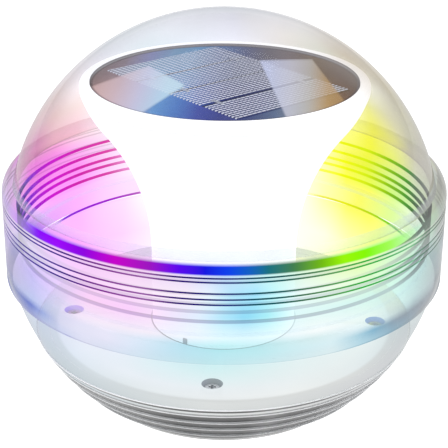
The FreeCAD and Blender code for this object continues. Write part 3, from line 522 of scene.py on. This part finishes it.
# polycarbonate moulded in the bowl, tinted with painted lamp light: clear enough to read the floor through
bowlGlow = glowPlastic("polycarbonateMouldedBowl", {
    "roughness": 0.04, "shine": 0.45, "flowSize": 35, "flowDepth": 0.01,
    "grainSize": 2.5, "grainDepth": 0.02, "edgePower": 5.0, "edgeDepth": 0.35, "edgeColour": "#a4acb2",
    "chart": bowlChart})
wallProfile = ballPoints(bowl["radius"], bowl["ledge"], bowl["low"], 14)
bowlWall = turnedPiece("bowlWall", wallProfile, [bowlGlow], fineSteps)
finishPiece(bowlWall, "hull", "frosted_bowl", "lower_bowl")
rimProfile = [(bowl["rimInner"], bowl["rimTop"]), (bowl["rim"], bowl["rimTop"]),
              (bowl["rim"], bowl["ledge"])]
bowlRim = turnedPiece("bowlRim", rimProfile, [innerFace])
finishPiece(bowlRim, "hull", "frosted_bowl", "lower_bowl")

floorChart = {
    25: {-180: "#ffffff", -60: "#fefcff", -30: "#d4f0fa", 0: "#c4f0f4",
         30: "#d2f2f6", 60: "#fbfeff", 180: "#ffffff"},
    31: {-180: "#ffffff", -120: "#fff6ff", -60: "#fbfaff", -30: "#daf2fb",
         0: "#cef2f5", 30: "#daf5f8", 60: "#fafeff", 130: "#fffff0",
         180: "#ffffff"},
    42: {-180: "#fefefe", -137: "#fbe2fd", -100: "#fceafd", -75: "#fbf6fe",
         -50: "#f2f5fd", -30: "#e6f5f9", 0: "#def3f4", 30: "#e8f4f5",
         57: "#f2f9f9", 80: "#fafefd", 110: "#f6fff2", 137: "#fdffd8",
         180: "#fefefe"},
    52: {-180: "#fdfdfd", -150: "#fbe4fc", -125: "#fbc8fb", -100: "#f8defb",
         -75: "#f6f4fd", -48: "#eef3fa", 0: "#eef2f5", 48: "#eff4f4",
         80: "#f6fbfa", 115: "#e6fbe0", 135: "#f6ffb0", 160: "#fdfdf0",
         180: "#fdfdfd"},
    58.2: {-180: "#fbfbfb", -150: "#f8dcfa", -120: "#f8c4f8", -90: "#e8e4f6",
           -57: "#e9f0fa", -30: "#e4ebee", 0: "#eef2f3", 30: "#f0f3f2",
           60: "#e9f1f3", 90: "#e2eaea", 115: "#dcf4dc", 140: "#f8fcb4",
           180: "#fbfbfb"},
    59.4: {-180: "#f0f0f0", -120: "#ecc8f0", -90: "#d4d8ea", -50: "#d4dde2",
           0: "#dadcdb", 50: "#dcdedd", 90: "#ccd4d6", 130: "#e8f4b8",
           180: "#f0f0f0"},
    64: {-180: "#f0f0f0", -120: "#f0c0f0", -90: "#ccd4e8", -50: "#ccd6dc",
         0: "#e2e4e3", 50: "#d8dadb", 90: "#c8d0d2", 130: "#e8f4a8",
         180: "#f0f0f0"}}
# polycarbonate frosted in the mould: an even, milky painted glow that is whitest by the column, with
# painted lamp colours and painted shade greying it towards the wall
floorGlow = glowPlastic("polycarbonateFrostedFloor", {
    "roughness": 0.3, "shine": 0.1, "flowSize": 14, "flowDepth": 0.012,
    "grainSize": 0.8, "grainDepth": 0.05, "edgePower": 4.0, "edgeDepth": 0.0, "edgeColour": "#c0c4c8",
    "byRadius": True, "chart": floorChart})
inner = bowl["radius"] - bowl["wall"]
drop = bowl["floor"] + bowl["fillet"] - ballCentre
filletCentre = (math.sqrt((inner - bowl["fillet"]) ** 2 - drop ** 2), bowl["floor"] + bowl["fillet"])
filletEnd = math.degrees(math.atan2(drop, filletCentre[0]))
floorProfile = arcPoints(filletCentre, bowl["fillet"], filletEnd, -90, 8)
grooveInner, grooveMiddle, grooveOuter = bowl["footGroove"]
under = bowl["floor"] - bowl["thick"]
floorProfile += [(grooveOuter, bowl["floor"]), (grooveMiddle, bowl["floor"] - 0.3),
                 (grooveInner, bowl["floor"]),
                 (bowl["opening"], bowl["floor"]), (bowl["opening"], under), (bowl["plugFoot"], under),
                 (bowl["plugTop"], bowl["low"])]
bowlFloor = turnedPiece("bowlFloor", floorProfile, [floorGlow], fineSteps, closed=True)
wellCut = bpy.data.objects.new("wellCut", bpy.data.meshes.new("wellCut"))
bpy.context.scene.collection.objects.link(wellCut)
cutter = bmesh.new()
for x, y in bowl["wells"]:
    place = Matrix.Translation((x * mm, y * mm, (bowl["wellBottom"] + 5) * mm))
    bmesh.ops.create_cone(cutter, cap_ends=True, segments=40, radius1=bowl["wellRadius"] * mm,
                          radius2=bowl["wellRadius"] * mm, depth=10 * mm, matrix=place)
cutter.to_mesh(wellCut.data)
cutter.free()
boolean = bowlFloor.modifiers.new("wells", "BOOLEAN")
boolean.object = wellCut
boolean.operation = "DIFFERENCE"
boolean.solver = "EXACT"


# puts a piece's whole stack into its mesh
def applyStack(piece):
    graph = bpy.context.evaluated_depsgraph_get()
    mesh = bpy.data.meshes.new_from_object(piece.evaluated_get(graph))
    piece.modifiers.clear()
    piece.data = mesh


bpy.context.view_layer.update()
applyStack(bowlFloor)
bpy.data.objects.remove(wellCut)
finishPiece(bowlFloor, "hull", "frosted_bowl", "lower_bowl")

# the joint under the collar draws one long line across the far wall, coloured with painted lamp light,
# magenta on the left and yellow on the right
jointRing = {
    -180: ("#ffffff", 0.0), -153: ("#ffffff", 0.0), -146: ("#c060c8", 0.8), -136: ("#a820d0", 0.95),
    -122: ("#9010d8", 0.95), -114: ("#9030e0", 0.9), -108: ("#ffffff", 0.0), 108: ("#ffffff", 0.0),
    114: ("#50b838", 0.7), 120: ("#80d420", 0.9), 130: ("#c0e000", 0.95), 142: ("#ecec00", 0.95),
    150: ("#f4f060", 0.7), 156: ("#ffffff", 0.0), 180: ("#ffffff", 0.0)}
jointPaintedLight = glowPlastic("acrylicJointShade", {**lineLook, "chart": {0: jointRing}})
joint = {"radius": 67.4, "top": 47.7, "bottom": 46.8}
jointLine = turnedPiece("jointLine", [(joint["radius"], joint["top"]), (joint["radius"], joint["bottom"])],
                        [jointPaintedLight], fineSteps)
finishPiece(jointLine, "hull", "frosted_bowl")
# painted shade in the groove round the column's foot, deepest across the front
footRing = {
    -180: ("#c8ccd0", 0.1), -110: ("#b0b4b8", 0.3), -80: ("#70747a", 0.9), -30: ("#606468", 0.9),
    10: ("#707478", 0.9), 40: ("#90a0a0", 0.7), 70: ("#b8c0c4", 0.4), 110: ("#c8ccd0", 0.1),
    180: ("#c8ccd0", 0.1)}
footGrooveShade = glowPlastic("absJointShade", {**lineLook, "chart": {0: footRing}})
foot = {"inner": 25.3, "outer": 25.75, "height": 23.76}
footLine = turnedPiece("footLine", [(foot["inner"], foot["height"]), (foot["outer"], foot["height"])],
                       [footGrooveShade])
finishPiece(footLine, "hull", "frosted_bowl")

# wells: a shaded cup round each screw, light on its far side
wellRing = {-180: "#d8c8f8", -90: "#8450e8", 0: "#8c9498", 90: "#3c80c0",
            180: "#d8c8f8"}
wellDeep = {-180: "#a090c8", -90: "#6430c0", 0: "#70787c", 90: "#2060a0",
            180: "#a090c8"}
wellGlow = glowPlastic("polycarbonateFrostedWell", {
    "roughness": 0.4, "shine": 0.1, "flowSize": 3, "flowDepth": 0.04,
    "grainSize": 0.5, "grainDepth": 0.05, "edgePower": 4.0, "edgeDepth": 0.0, "edgeColour": "#c0c4c8",
    "chart": {20.7: wellDeep, 23.2: wellRing}})
# mouth, foot and screw hole of one well, as radius and height
cup = {"sides": 40, "rings": [(3.5, 23.66), (3.42, 20.75), (1.7, 20.75)]}
wells = bpy.data.objects.new("screwWells", bpy.data.meshes.new("screwWells"))
bpy.context.scene.collection.objects.link(wells)
cups = bmesh.new()
for x, y in bowl["wells"]:
    rings = []
    for radius, z in cup["rings"]:
        turns = [2 * math.pi * i / cup["sides"] for i in range(cup["sides"])]
        rings.append([cups.verts.new(((x + radius * math.cos(turn)) * mm,
                                      (y + radius * math.sin(turn)) * mm,
                                      z * mm)) for turn in turns])
    for upper, lower in zip(rings, rings[1:]):
        for i in range(cup["sides"]):
            j = (i + 1) % cup["sides"]
            cups.faces.new([upper[j], upper[i], lower[i], lower[j]]).smooth = True
cups.to_mesh(wells.data)
cups.free()
wells.data.materials.append(wellGlow)
finishPiece(wells, "hull", "frosted_bowl")

print("piece: base")
base = {"levels": [24.0, 20.6, 16.4, 11.9, 6.8, 1.0], "ledge": 0.45, "radius": 74.8, "chamfer": 1.0,
        "mouth": 61.5,
        "hollow": [(14.0, 0), (13.1, 0), (12.9, 0.2), (12.9, 3.3), (10.5, 3.3), (10.45, 9.0), (14.8, 9.0),
                   (14.8, 3.0), (40.0, 3.0), (61.0, 18.0)]}


def ballEdge(z, radius):
    return math.sqrt(radius ** 2 - (z - ballCentre) ** 2)


# ABS moulded with a fine spark texture: mid grey with painted shade, darkest at the front and lighter
# towards the sides, and a painted highlight along every ledge's lip
material, tree = startMaterial("absMouldedGrey")
share, height, radius = aroundAxis(tree)
ledge = None
# painted highlight: a light ring at the height of every ledge's lip
for z in base["levels"]:
    away = addNode(tree, "ShaderNodeMath", {0: height, 1: (z - 0.02) * mm}, operation="SUBTRACT").outputs[0]
    away = addNode(tree, "ShaderNodeMath", {0: away}, operation="ABSOLUTE").outputs[0]
    lip = addNode(tree, "ShaderNodeMapRange", {0: away, 1: 0.15 * mm, 2: 0.5 * mm, 3: 1.0,
                                               4: 0.0}).outputs[0]
    ledge = lip if ledge is None else addNode(tree, "ShaderNodeMath", {0: ledge, 1: lip},
                                              operation="MAXIMUM").outputs[0]
# painted shade by direction: darkest at the front, lighter towards the sides
tone = addNode(tree, "ShaderNodeValToRGB", {0: share}, stops=ringStops({
    -180: "#5c5d5e", -60: "#909193", -30: "#747474", -20: "#5c5c5c",
    -10: "#383838", 4: "#3c3c3c", 11: "#3a3a3a", 18: "#686868",
    24: "#505050", 34: "#585858", 50: "#8c8c8c", 180: "#5c5d5e"})).outputs[0]
tone = addNode(tree, "ShaderNodeMix", {0: ledge, 6: tone, 7: hexColour("#d8d8d8")},
               data_type="RGBA").outputs[2]
grainLook = {"flowSize": 5, "flowDepth": 0.05, "grainSize": 0.5, "grainDepth": 0.25}
tone = flowMarks(tree, tone, grainLook)
shell = addNode(tree, "ShaderNodeBsdfPrincipled", {"Base Color": tone, "Roughness": 0.5, "IOR": 1.54,
                                                   "Normal": relief(tree, grainLook)}).outputs[0]
absGrey = endMaterial(material, tree, shell)

profile = []
for high, low in zip(base["levels"], base["levels"][1:]):
    top = ballEdge(high, base["radius"]) + base["ledge"]
    bottom = ballEdge(low, base["radius"]) - base["ledge"]
    profile += [(top - 0.15, high), (top, high - 0.15)]
    profile += [(top + (bottom - top) * i / 3, high + (low - high) * i / 3) for i in (1, 2)]
    profile += [(bottom, low)]
profile.insert(0, (base["mouth"], base["levels"][0]))
profile += [(bottom - base["chamfer"], 0)] + base["hollow"]
ridgedFoot = turnedPiece("ridgedFoot", profile, [absGrey], fineSteps, closed=True, smooth=False)
finishPiece(ridgedFoot, "hull", "grey_base", "ridged_base")

print("piece: column")
# ABS moulded white, with a painted glow for the lamps inside: it burns out to white, with painted shade a
# touch grey under the bezel
material, tree = startMaterial("absMouldedWhite")
height = aroundAxis(tree)[1]
tone = addNode(tree, "ShaderNodeValToRGB", {0: addNode(tree, "ShaderNodeMapRange", {
    0: height, 1: 23.7 * mm, 2: 111.2 * mm}).outputs[0]}, stops=[
        (0.0, hexColour("#f4fbfd")), (0.12, hexColour("#ffffff")), (0.8, hexColour("#fefefe")),
        (0.9, hexColour("#f6f6f6")), (0.955, hexColour("#f2f2f3")), (1.0, hexColour("#fbfbfc"))]).outputs[0]
whiteLook = {"flowSize": 18, "flowDepth": 0.006, "grainSize": 0.8, "grainDepth": 0.05}
tone = flowMarks(tree, tone, whiteLook)
glow = addNode(tree, "ShaderNodeEmission", {0: tone, 1: 0.9}).outputs[0]
skin = addNode(tree, "ShaderNodeBsdfPrincipled", {"Base Color": hexColour("#808080"), "Roughness": 0.4,
                                                  "IOR": 1.54,
                                                  "Normal": relief(tree, whiteLook)}).outputs[0]
absWhite = endMaterial(material, tree, addNode(tree, "ShaderNodeAddShader", {0: glow, 1: skin}).outputs[0])

column = {"radius": 25.1, "wall": 1.8, "flareStart": 50.0, "flare": 73.0, "flareEnd": 39.26, "lip": 35.0,
          "top": 107.0, "waist": 36.0, "foot": 23.7}
flareCentre = (column["radius"] + column["flare"], column["flareStart"])
turn = math.radians(column["flareEnd"])
lipCentre = (flareCentre[0] - (column["flare"] + column["lip"]) * math.cos(turn),
             flareCentre[1] + (column["flare"] + column["lip"]) * math.sin(turn))
lipEnd = math.degrees(math.asin((column["top"] - lipCentre[1]) / column["lip"]))
side = arcPoints(lipCentre, column["lip"], lipEnd, -column["flareEnd"], 12)
side += arcPoints(flareCentre, column["flare"], 180 - column["flareEnd"], 180, 18)[1:]
side += [(column["radius"], column["waist"]), (column["radius"], column["foot"])]
trumpet = turnedPiece("columnTrumpet", side, [absWhite], wall=column["wall"])
finishPiece(trumpet, "hull", "white_column", "trumpet_reflector")

# index tab on the column's foot
index = {"angle": -117, "wide": 1.7, "deep": 0.9, "tall": 2.0}
tabMesh = bpy.data.meshes.new("columnIndex")
tab = bmesh.new()
bmesh.ops.create_cube(tab, size=1.0)
bmesh.ops.scale(tab, verts=tab.verts, vec=(index["deep"] * mm, index["wide"] * mm, index["tall"] * mm))
bmesh.ops.bevel(tab, geom=tab.edges, offset=0.15 * mm, segments=2, affect="EDGES")
bmesh.ops.translate(tab, verts=tab.verts, vec=((column["radius"] - 0.1) * mm, 0,
                                               (column["foot"] + index["tall"] / 2) * mm))
tabTurn = Matrix.Rotation(math.radians(index["angle"]), 3, "Z")
bmesh.ops.rotate(tab, verts=tab.verts, cent=(0, 0, 0), matrix=tabTurn)
tab.to_mesh(tabMesh)
tab.free()
tabMesh.materials.append(solidSurface("absMouldedShade", {"colour": "#8c9094", "roughness": 0.5,
                                                          "flowSize": 3,
                                                          "flowDepth": 0.05, "grainSize": 0.5,
                                                          "grainDepth": 0.1}))
columnIndex = bpy.data.objects.new("columnIndex", tabMesh)
bpy.context.scene.collection.objects.link(columnIndex)
finishPiece(columnIndex, "hull", "white_column")

rim = {"outer": 48.0, "inner": 44.65, "top": 111.2, "round": 1.2, "seat": 108.9, "shoulder": 108.2,
       "foot": 107.0, "footOuter": 47.6, "shelf": 40.0}
rimOutline = [(rim["inner"], rim["seat"]), (rim["inner"], rim["top"])]
rimOutline += arcPoints((rim["outer"] - rim["round"], rim["top"] - rim["round"]), rim["round"], 90, 0, 6)
rimOutline += [(rim["outer"], rim["shoulder"]), (rim["footOuter"], rim["foot"]),
               (rim["shelf"], rim["foot"]),
               (rim["shelf"], rim["seat"])]
panelRim = turnedPiece("panelRim", rimOutline, [absWhite], closed=True)
finishPiece(panelRim, "hull", "white_column", "panel_bezel")

print("piece: solar panel")
cells = {"turn": 44.4, "centre": (0.3, 1.0), "width": 15.75, "gap": 1.5, "length": 47.8,
         "finger": 1.58, "fingerWide": 0.78, "dash": 1.9, "dashLong": 1.6, "silver": 0.95}


panelReach = 45                      # mm each side of the axis that the tints span


# the panel's colour with painted reflection across it, one set of tints at its front and one at its back
def panelTintAndReflection(tree, front, rear):
    place = addNode(tree, "ShaderNodeTexCoord").outputs["Object"]
    xyz = addNode(tree, "ShaderNodeSeparateXYZ", {0: place}).outputs
    across = addNode(tree, "ShaderNodeMapRange", {0: xyz["X"], 1: -panelReach * mm,
                                                  2: panelReach * mm}).outputs[0]
    colours = []
    for tints in (front, rear):
        stops = [((x + panelReach) / (2 * panelReach), hexColour(code)) for x, code in tints]
        colours.append(addNode(tree, "ShaderNodeValToRGB", {0: across}, stops=stops).outputs[0])
    back = addNode(tree, "ShaderNodeMapRange", {0: xyz["Y"], 1: -26 * mm, 2: 18 * mm},
                   interpolation_type="SMOOTHSTEP").outputs[0]
    return addNode(tree, "ShaderNodeMix", {0: back, 6: colours[0], 7: colours[1]},
                   data_type="RGBA").outputs[2]


# the panel's own axes: X along the strips, Y across them, from the middle of the field of cells
def stripAxes(tree):
    place = addNode(tree, "ShaderNodeTexCoord").outputs["Object"]
    centre = (cells["centre"][0] * mm, cells["centre"][1] * mm, 0)
    moved = addNode(tree, "ShaderNodeVectorMath", {0: place, 1: centre}, operation="SUBTRACT").outputs[0]
    turned = addNode(tree, "ShaderNodeVectorRotate", {"Vector": moved,
                                                      "Angle": -math.radians(cells["turn"])}).outputs[0]
    return addNode(tree, "ShaderNodeSeparateXYZ", {0: turned}).outputs


# a painted glow in the surface's own colour, under a fifth of lit shading
def litSurface(material, tree, tint, roughness, look):
    lit = addNode(tree, "ShaderNodeEmission", {0: tint, 1: 0.85}).outputs[0]
    skin = addNode(tree, "ShaderNodeBsdfPrincipled", {"Base Color": tint, "Roughness": roughness,
                                                      "Normal": relief(tree, look)}).outputs[0]
    return endMaterial(material, tree, addNode(tree, "ShaderNodeMixShader",
                                               {0: 0.2, 1: lit, 2: skin}).outputs[0])


# silicon etched and coated blue: strips with fine silver fingers, with a painted reflection that turns
# browner towards the edges
material, tree = startMaterial("siliconEtchedBlue")
fine = {"flowSize": 3, "flowDepth": 0.05, "grainSize": 0.5, "grainDepth": 0.05}
tint = panelTintAndReflection(tree, [
    (-45, "#a08480"), (-34, "#b09498"), (-22, "#8ab4e0"), (-14, "#4c8cd0"), (-8, "#3c60b0"), (0, "#202c78"),
    (6, "#1c2868"), (14, "#2c3870"), (22, "#5c6880"), (32, "#8c7850"), (45, "#584030")], [
    (-45, "#80706c"), (-34, "#8890a8"), (-24, "#6c9cc0"), (-14, "#5c90b8"), (-5, "#38588c"), (3, "#2c3c68"),
    (12, "#4c5070"), (22, "#6c6870"), (32, "#705c44"), (45, "#584030")])
strip = stripAxes(tree)
lines = []
for axis, pitch, width in (("Y", "finger", "fingerWide"), ("X", "dash", "dashLong")):
    shifted = addNode(tree, "ShaderNodeMath", {0: strip[axis], 1: 60 * cells[pitch] * mm},
                      operation="ADD").outputs[0]
    within = addNode(tree, "ShaderNodeMath", {0: shifted, 1: cells[pitch] * mm},
                     operation="MODULO").outputs[0]
    lines.append(addNode(tree, "ShaderNodeMath", {0: within, 1: cells[width] * mm},
                         operation="LESS_THAN").outputs[0])
silver = addNode(tree, "ShaderNodeMath", {0: lines[0], 1: lines[1]}, operation="MULTIPLY").outputs[0]
silver = addNode(tree, "ShaderNodeMath", {0: silver, 1: cells["silver"]}, operation="MULTIPLY").outputs[0]
tint = addNode(tree, "ShaderNodeMix", {0: silver, 6: tint, 7: hexColour("#eef2fa")},
               data_type="RGBA").outputs[2]
siliconBlue = litSurface(material, tree, flowMarks(tree, tint, fine), 0.3, fine)

# glass-epoxy board: dark under the strips, so that the gaps read, with painted reflection brown at the
# sides and slate at the back
material, tree = startMaterial("glassEpoxyBacking")
weave = {"flowSize": 2.5, "flowDepth": 0.05, "grainSize": 0.6, "grainDepth": 0.1}
tint = panelTintAndReflection(tree, [
    (-45, "#8c6c64"), (-38, "#c09890"), (-28, "#b4a0b8"), (-20, "#68a0d8"), (-13, "#5080c8"),
    (-6, "#4050a8"),
    (2, "#333c88"), (10, "#3c487c"), (18, "#5c7090"), (26, "#889094"), (32, "#a88c5c"), (38, "#846444"),
    (45, "#584030")], [
    (-45, "#7c6864"), (-36, "#94848c"), (-28, "#8c90bc"), (-20, "#7ca4c4"), (-12, "#70a0c8"),
    (-4, "#6480ac"),
    (5, "#5c6488"), (12, "#686470"), (20, "#7c7072"), (30, "#7b654a"), (38, "#6a5345"), (45, "#5c4638")])
strip = stripAxes(tree)
field = None
for axis, reach in (("X", cells["length"] / 2), ("Y", 2 * cells["width"] + 1.5 * cells["gap"])):
    away = addNode(tree, "ShaderNodeMath", {0: strip[axis]}, operation="ABSOLUTE").outputs[0]
    inside = addNode(tree, "ShaderNodeMath", {0: away, 1: reach * mm}, operation="LESS_THAN").outputs[0]
    field = inside if field is None else addNode(tree, "ShaderNodeMath", {0: field, 1: inside},
                                                 operation="MULTIPLY").outputs[0]
tint = addNode(tree, "ShaderNodeMix", {0: field, 6: tint, 7: hexColour("#1c2648")},
               data_type="RGBA").outputs[2]
epoxyBacking = litSurface(material, tree, flowMarks(tree, tint, weave), 0.4, weave)

# epoxy resin poured over the cells: clear and glossy, with two hard-edged painted reflections, pale patches
# drawn in its skin each edge of a painted reflection is a point in mm on the panel and the direction that
# leads inside
reflectionPatches = [
    {"edges": [((-42, -12), (0.858, -0.515)), ((-27, 13), (-0.823, -0.568)),
               ((-12.5, -8), (-0.946, 0.323))],
     "tints": [(-45, "#e0b8b0"), (-34, "#e0c8d0"), (-26, "#dcdcf4"), (-18, "#d4f0fc"), (45, "#c8e8f8")],
     "cover": 0.42},
    {"edges": [((10.4, 23.8), (0.984, 0.175)), ((28.4, 26.7), (-0.975, -0.222)),
               ((28.4, 26.7), (0.159, -0.987))],
     "tints": [(-45, "#d0d8ff"), (14, "#d4dcfc"), (22, "#dcdce8"), (28, "#d0ccc4"), (34, "#c8a46c"),
               (45, "#b48c58")],
     "cover": 0.38}]
material, tree = startMaterial("epoxyPouredClear")
place = addNode(tree, "ShaderNodeTexCoord").outputs["Object"]
skin = addNode(tree, "ShaderNodeBsdfTransparent", {0: hexColour("#fafafc")}).outputs[0]
for reflectionPatch in reflectionPatches:
    mask = None
    for (x, y), (nx, ny) in reflectionPatch["edges"]:
        offset = addNode(tree, "ShaderNodeVectorMath", {0: place, 1: (x * mm, y * mm, 0)},
                         operation="SUBTRACT").outputs[0]
        depth = addNode(tree, "ShaderNodeVectorMath", {0: offset, 1: (nx, ny, 0)},
                        operation="DOT_PRODUCT").outputs["Value"]
        side = addNode(tree, "ShaderNodeMapRange", {0: depth, 1: -0.4 * mm, 2: 0.4 * mm, 3: 0.0,
                                                    4: 1.0}).outputs[0]
        mask = side if mask is None else addNode(tree, "ShaderNodeMath", {0: mask, 1: side},
                                                 operation="MULTIPLY").outputs[0]
    mask = addNode(tree, "ShaderNodeMath", {0: mask, 1: reflectionPatch["cover"]}, operation="MULTIPLY").outputs[0]
    tint = panelTintAndReflection(tree, reflectionPatch["tints"], reflectionPatch["tints"])
    # painted reflection: a pale emission inside the patch's edges
    paintedReflection = addNode(tree, "ShaderNodeEmission", {0: tint, 1: 1.0}).outputs[0]
    skin = addNode(tree, "ShaderNodeMixShader", {0: mask, 1: skin, 2: paintedReflection}).outputs[0]
# painted shade darkens the rim next to the bezel
radius = aroundAxis(tree)[2]
rimShade = addNode(tree, "ShaderNodeMapRange", {0: radius, 1: 43.4 * mm, 2: 44.4 * mm, 3: 0.0,
                                                4: 0.75}).outputs[0]
rimTone = addNode(tree, "ShaderNodeEmission", {0: hexColour("#4c4448"), 1: 1.0}).outputs[0]
skin = addNode(tree, "ShaderNodeMixShader", {0: rimShade, 1: skin, 2: rimTone}).outputs[0]
resinLook = {"grainSize": 4.0, "grainDepth": 0.02}
gloss = addNode(tree, "ShaderNodeBsdfGlossy", {"Roughness": 0.04,
                                               "Normal": relief(tree, resinLook)}).outputs[0]
clearResin = endMaterial(material, tree, addNode(tree, "ShaderNodeMixShader",
                                                 {0: 0.02, 1: skin, 2: gloss}).outputs[0])

print("stage: other finishes")
finishes = {
    "steel_screw": ("stainlessRolled", {"colour": "#b4b6ba", "metallic": 1.0, "roughness": 0.3}),
    "ballast_steel": ("steelZincPlated", {"colour": "#a8acae", "metallic": 1.0, "roughness": 0.35}),
    "tinned_ribbon": ("copperTinned", {"colour": "#c8ccd0", "metallic": 1.0, "roughness": 0.25}),
    "lead_jacket": ("pvcExtrudedRed", {"colour": "#a03028", "roughness": 0.45}),
    "circuit_board": ("glassEpoxyMasked", {"colour": "#1c5a3c", "roughness": 0.35}),
    "lamp_body": ("polyamideMouldedWhite", {"colour": "#ecebe2", "roughness": 0.5}),
    "battery_holder": ("absMouldedBlack", {"colour": "#28292b", "roughness": 0.5}),
    "cell_wrap": ("pvcShrunkBlue", {"colour": "#2c5a9c", "roughness": 0.3}),
    "contact_metal": ("nickelPlatedSpring", {"colour": "#c4c0b4", "metallic": 1.0, "roughness": 0.25}),
    "grey_cap": ("absMouldedGreyCap", {"colour": "#8c8d8f", "roughness": 0.5}),
    "chip_black": ("epoxyTransferMoulded", {"colour": "#1e1f21", "roughness": 0.6}),
    "ferrite": ("ferriteSintered", {"colour": "#33302e", "roughness": 0.7}),
    "capacitor_sleeve": ("petShrunkSleeve", {"colour": "#22304c", "roughness": 0.3})}
slotMaterials = {"silicon_cell": siliconBlue, "panel_backing": epoxyBacking, "clear_resin": clearResin,
                 "silicone": siliconeSeal}
for slot, (name, look) in finishes.items():
    slotMaterials[slot] = solidSurface(name, {"flowSize": 4, "flowDepth": 0.05, "grainSize": 0.6,
                                              "grainDepth": 0.15, **look})
nodeSlots = {row["node"]: row["material_slot"] for row in frame["record"]["subparts"]}
for name, node in frame["nodes"].items():
    material = slotMaterials.get(nodeSlots.get(name))
    if material:
        node.data.materials.clear()
        node.data.materials.append(material)
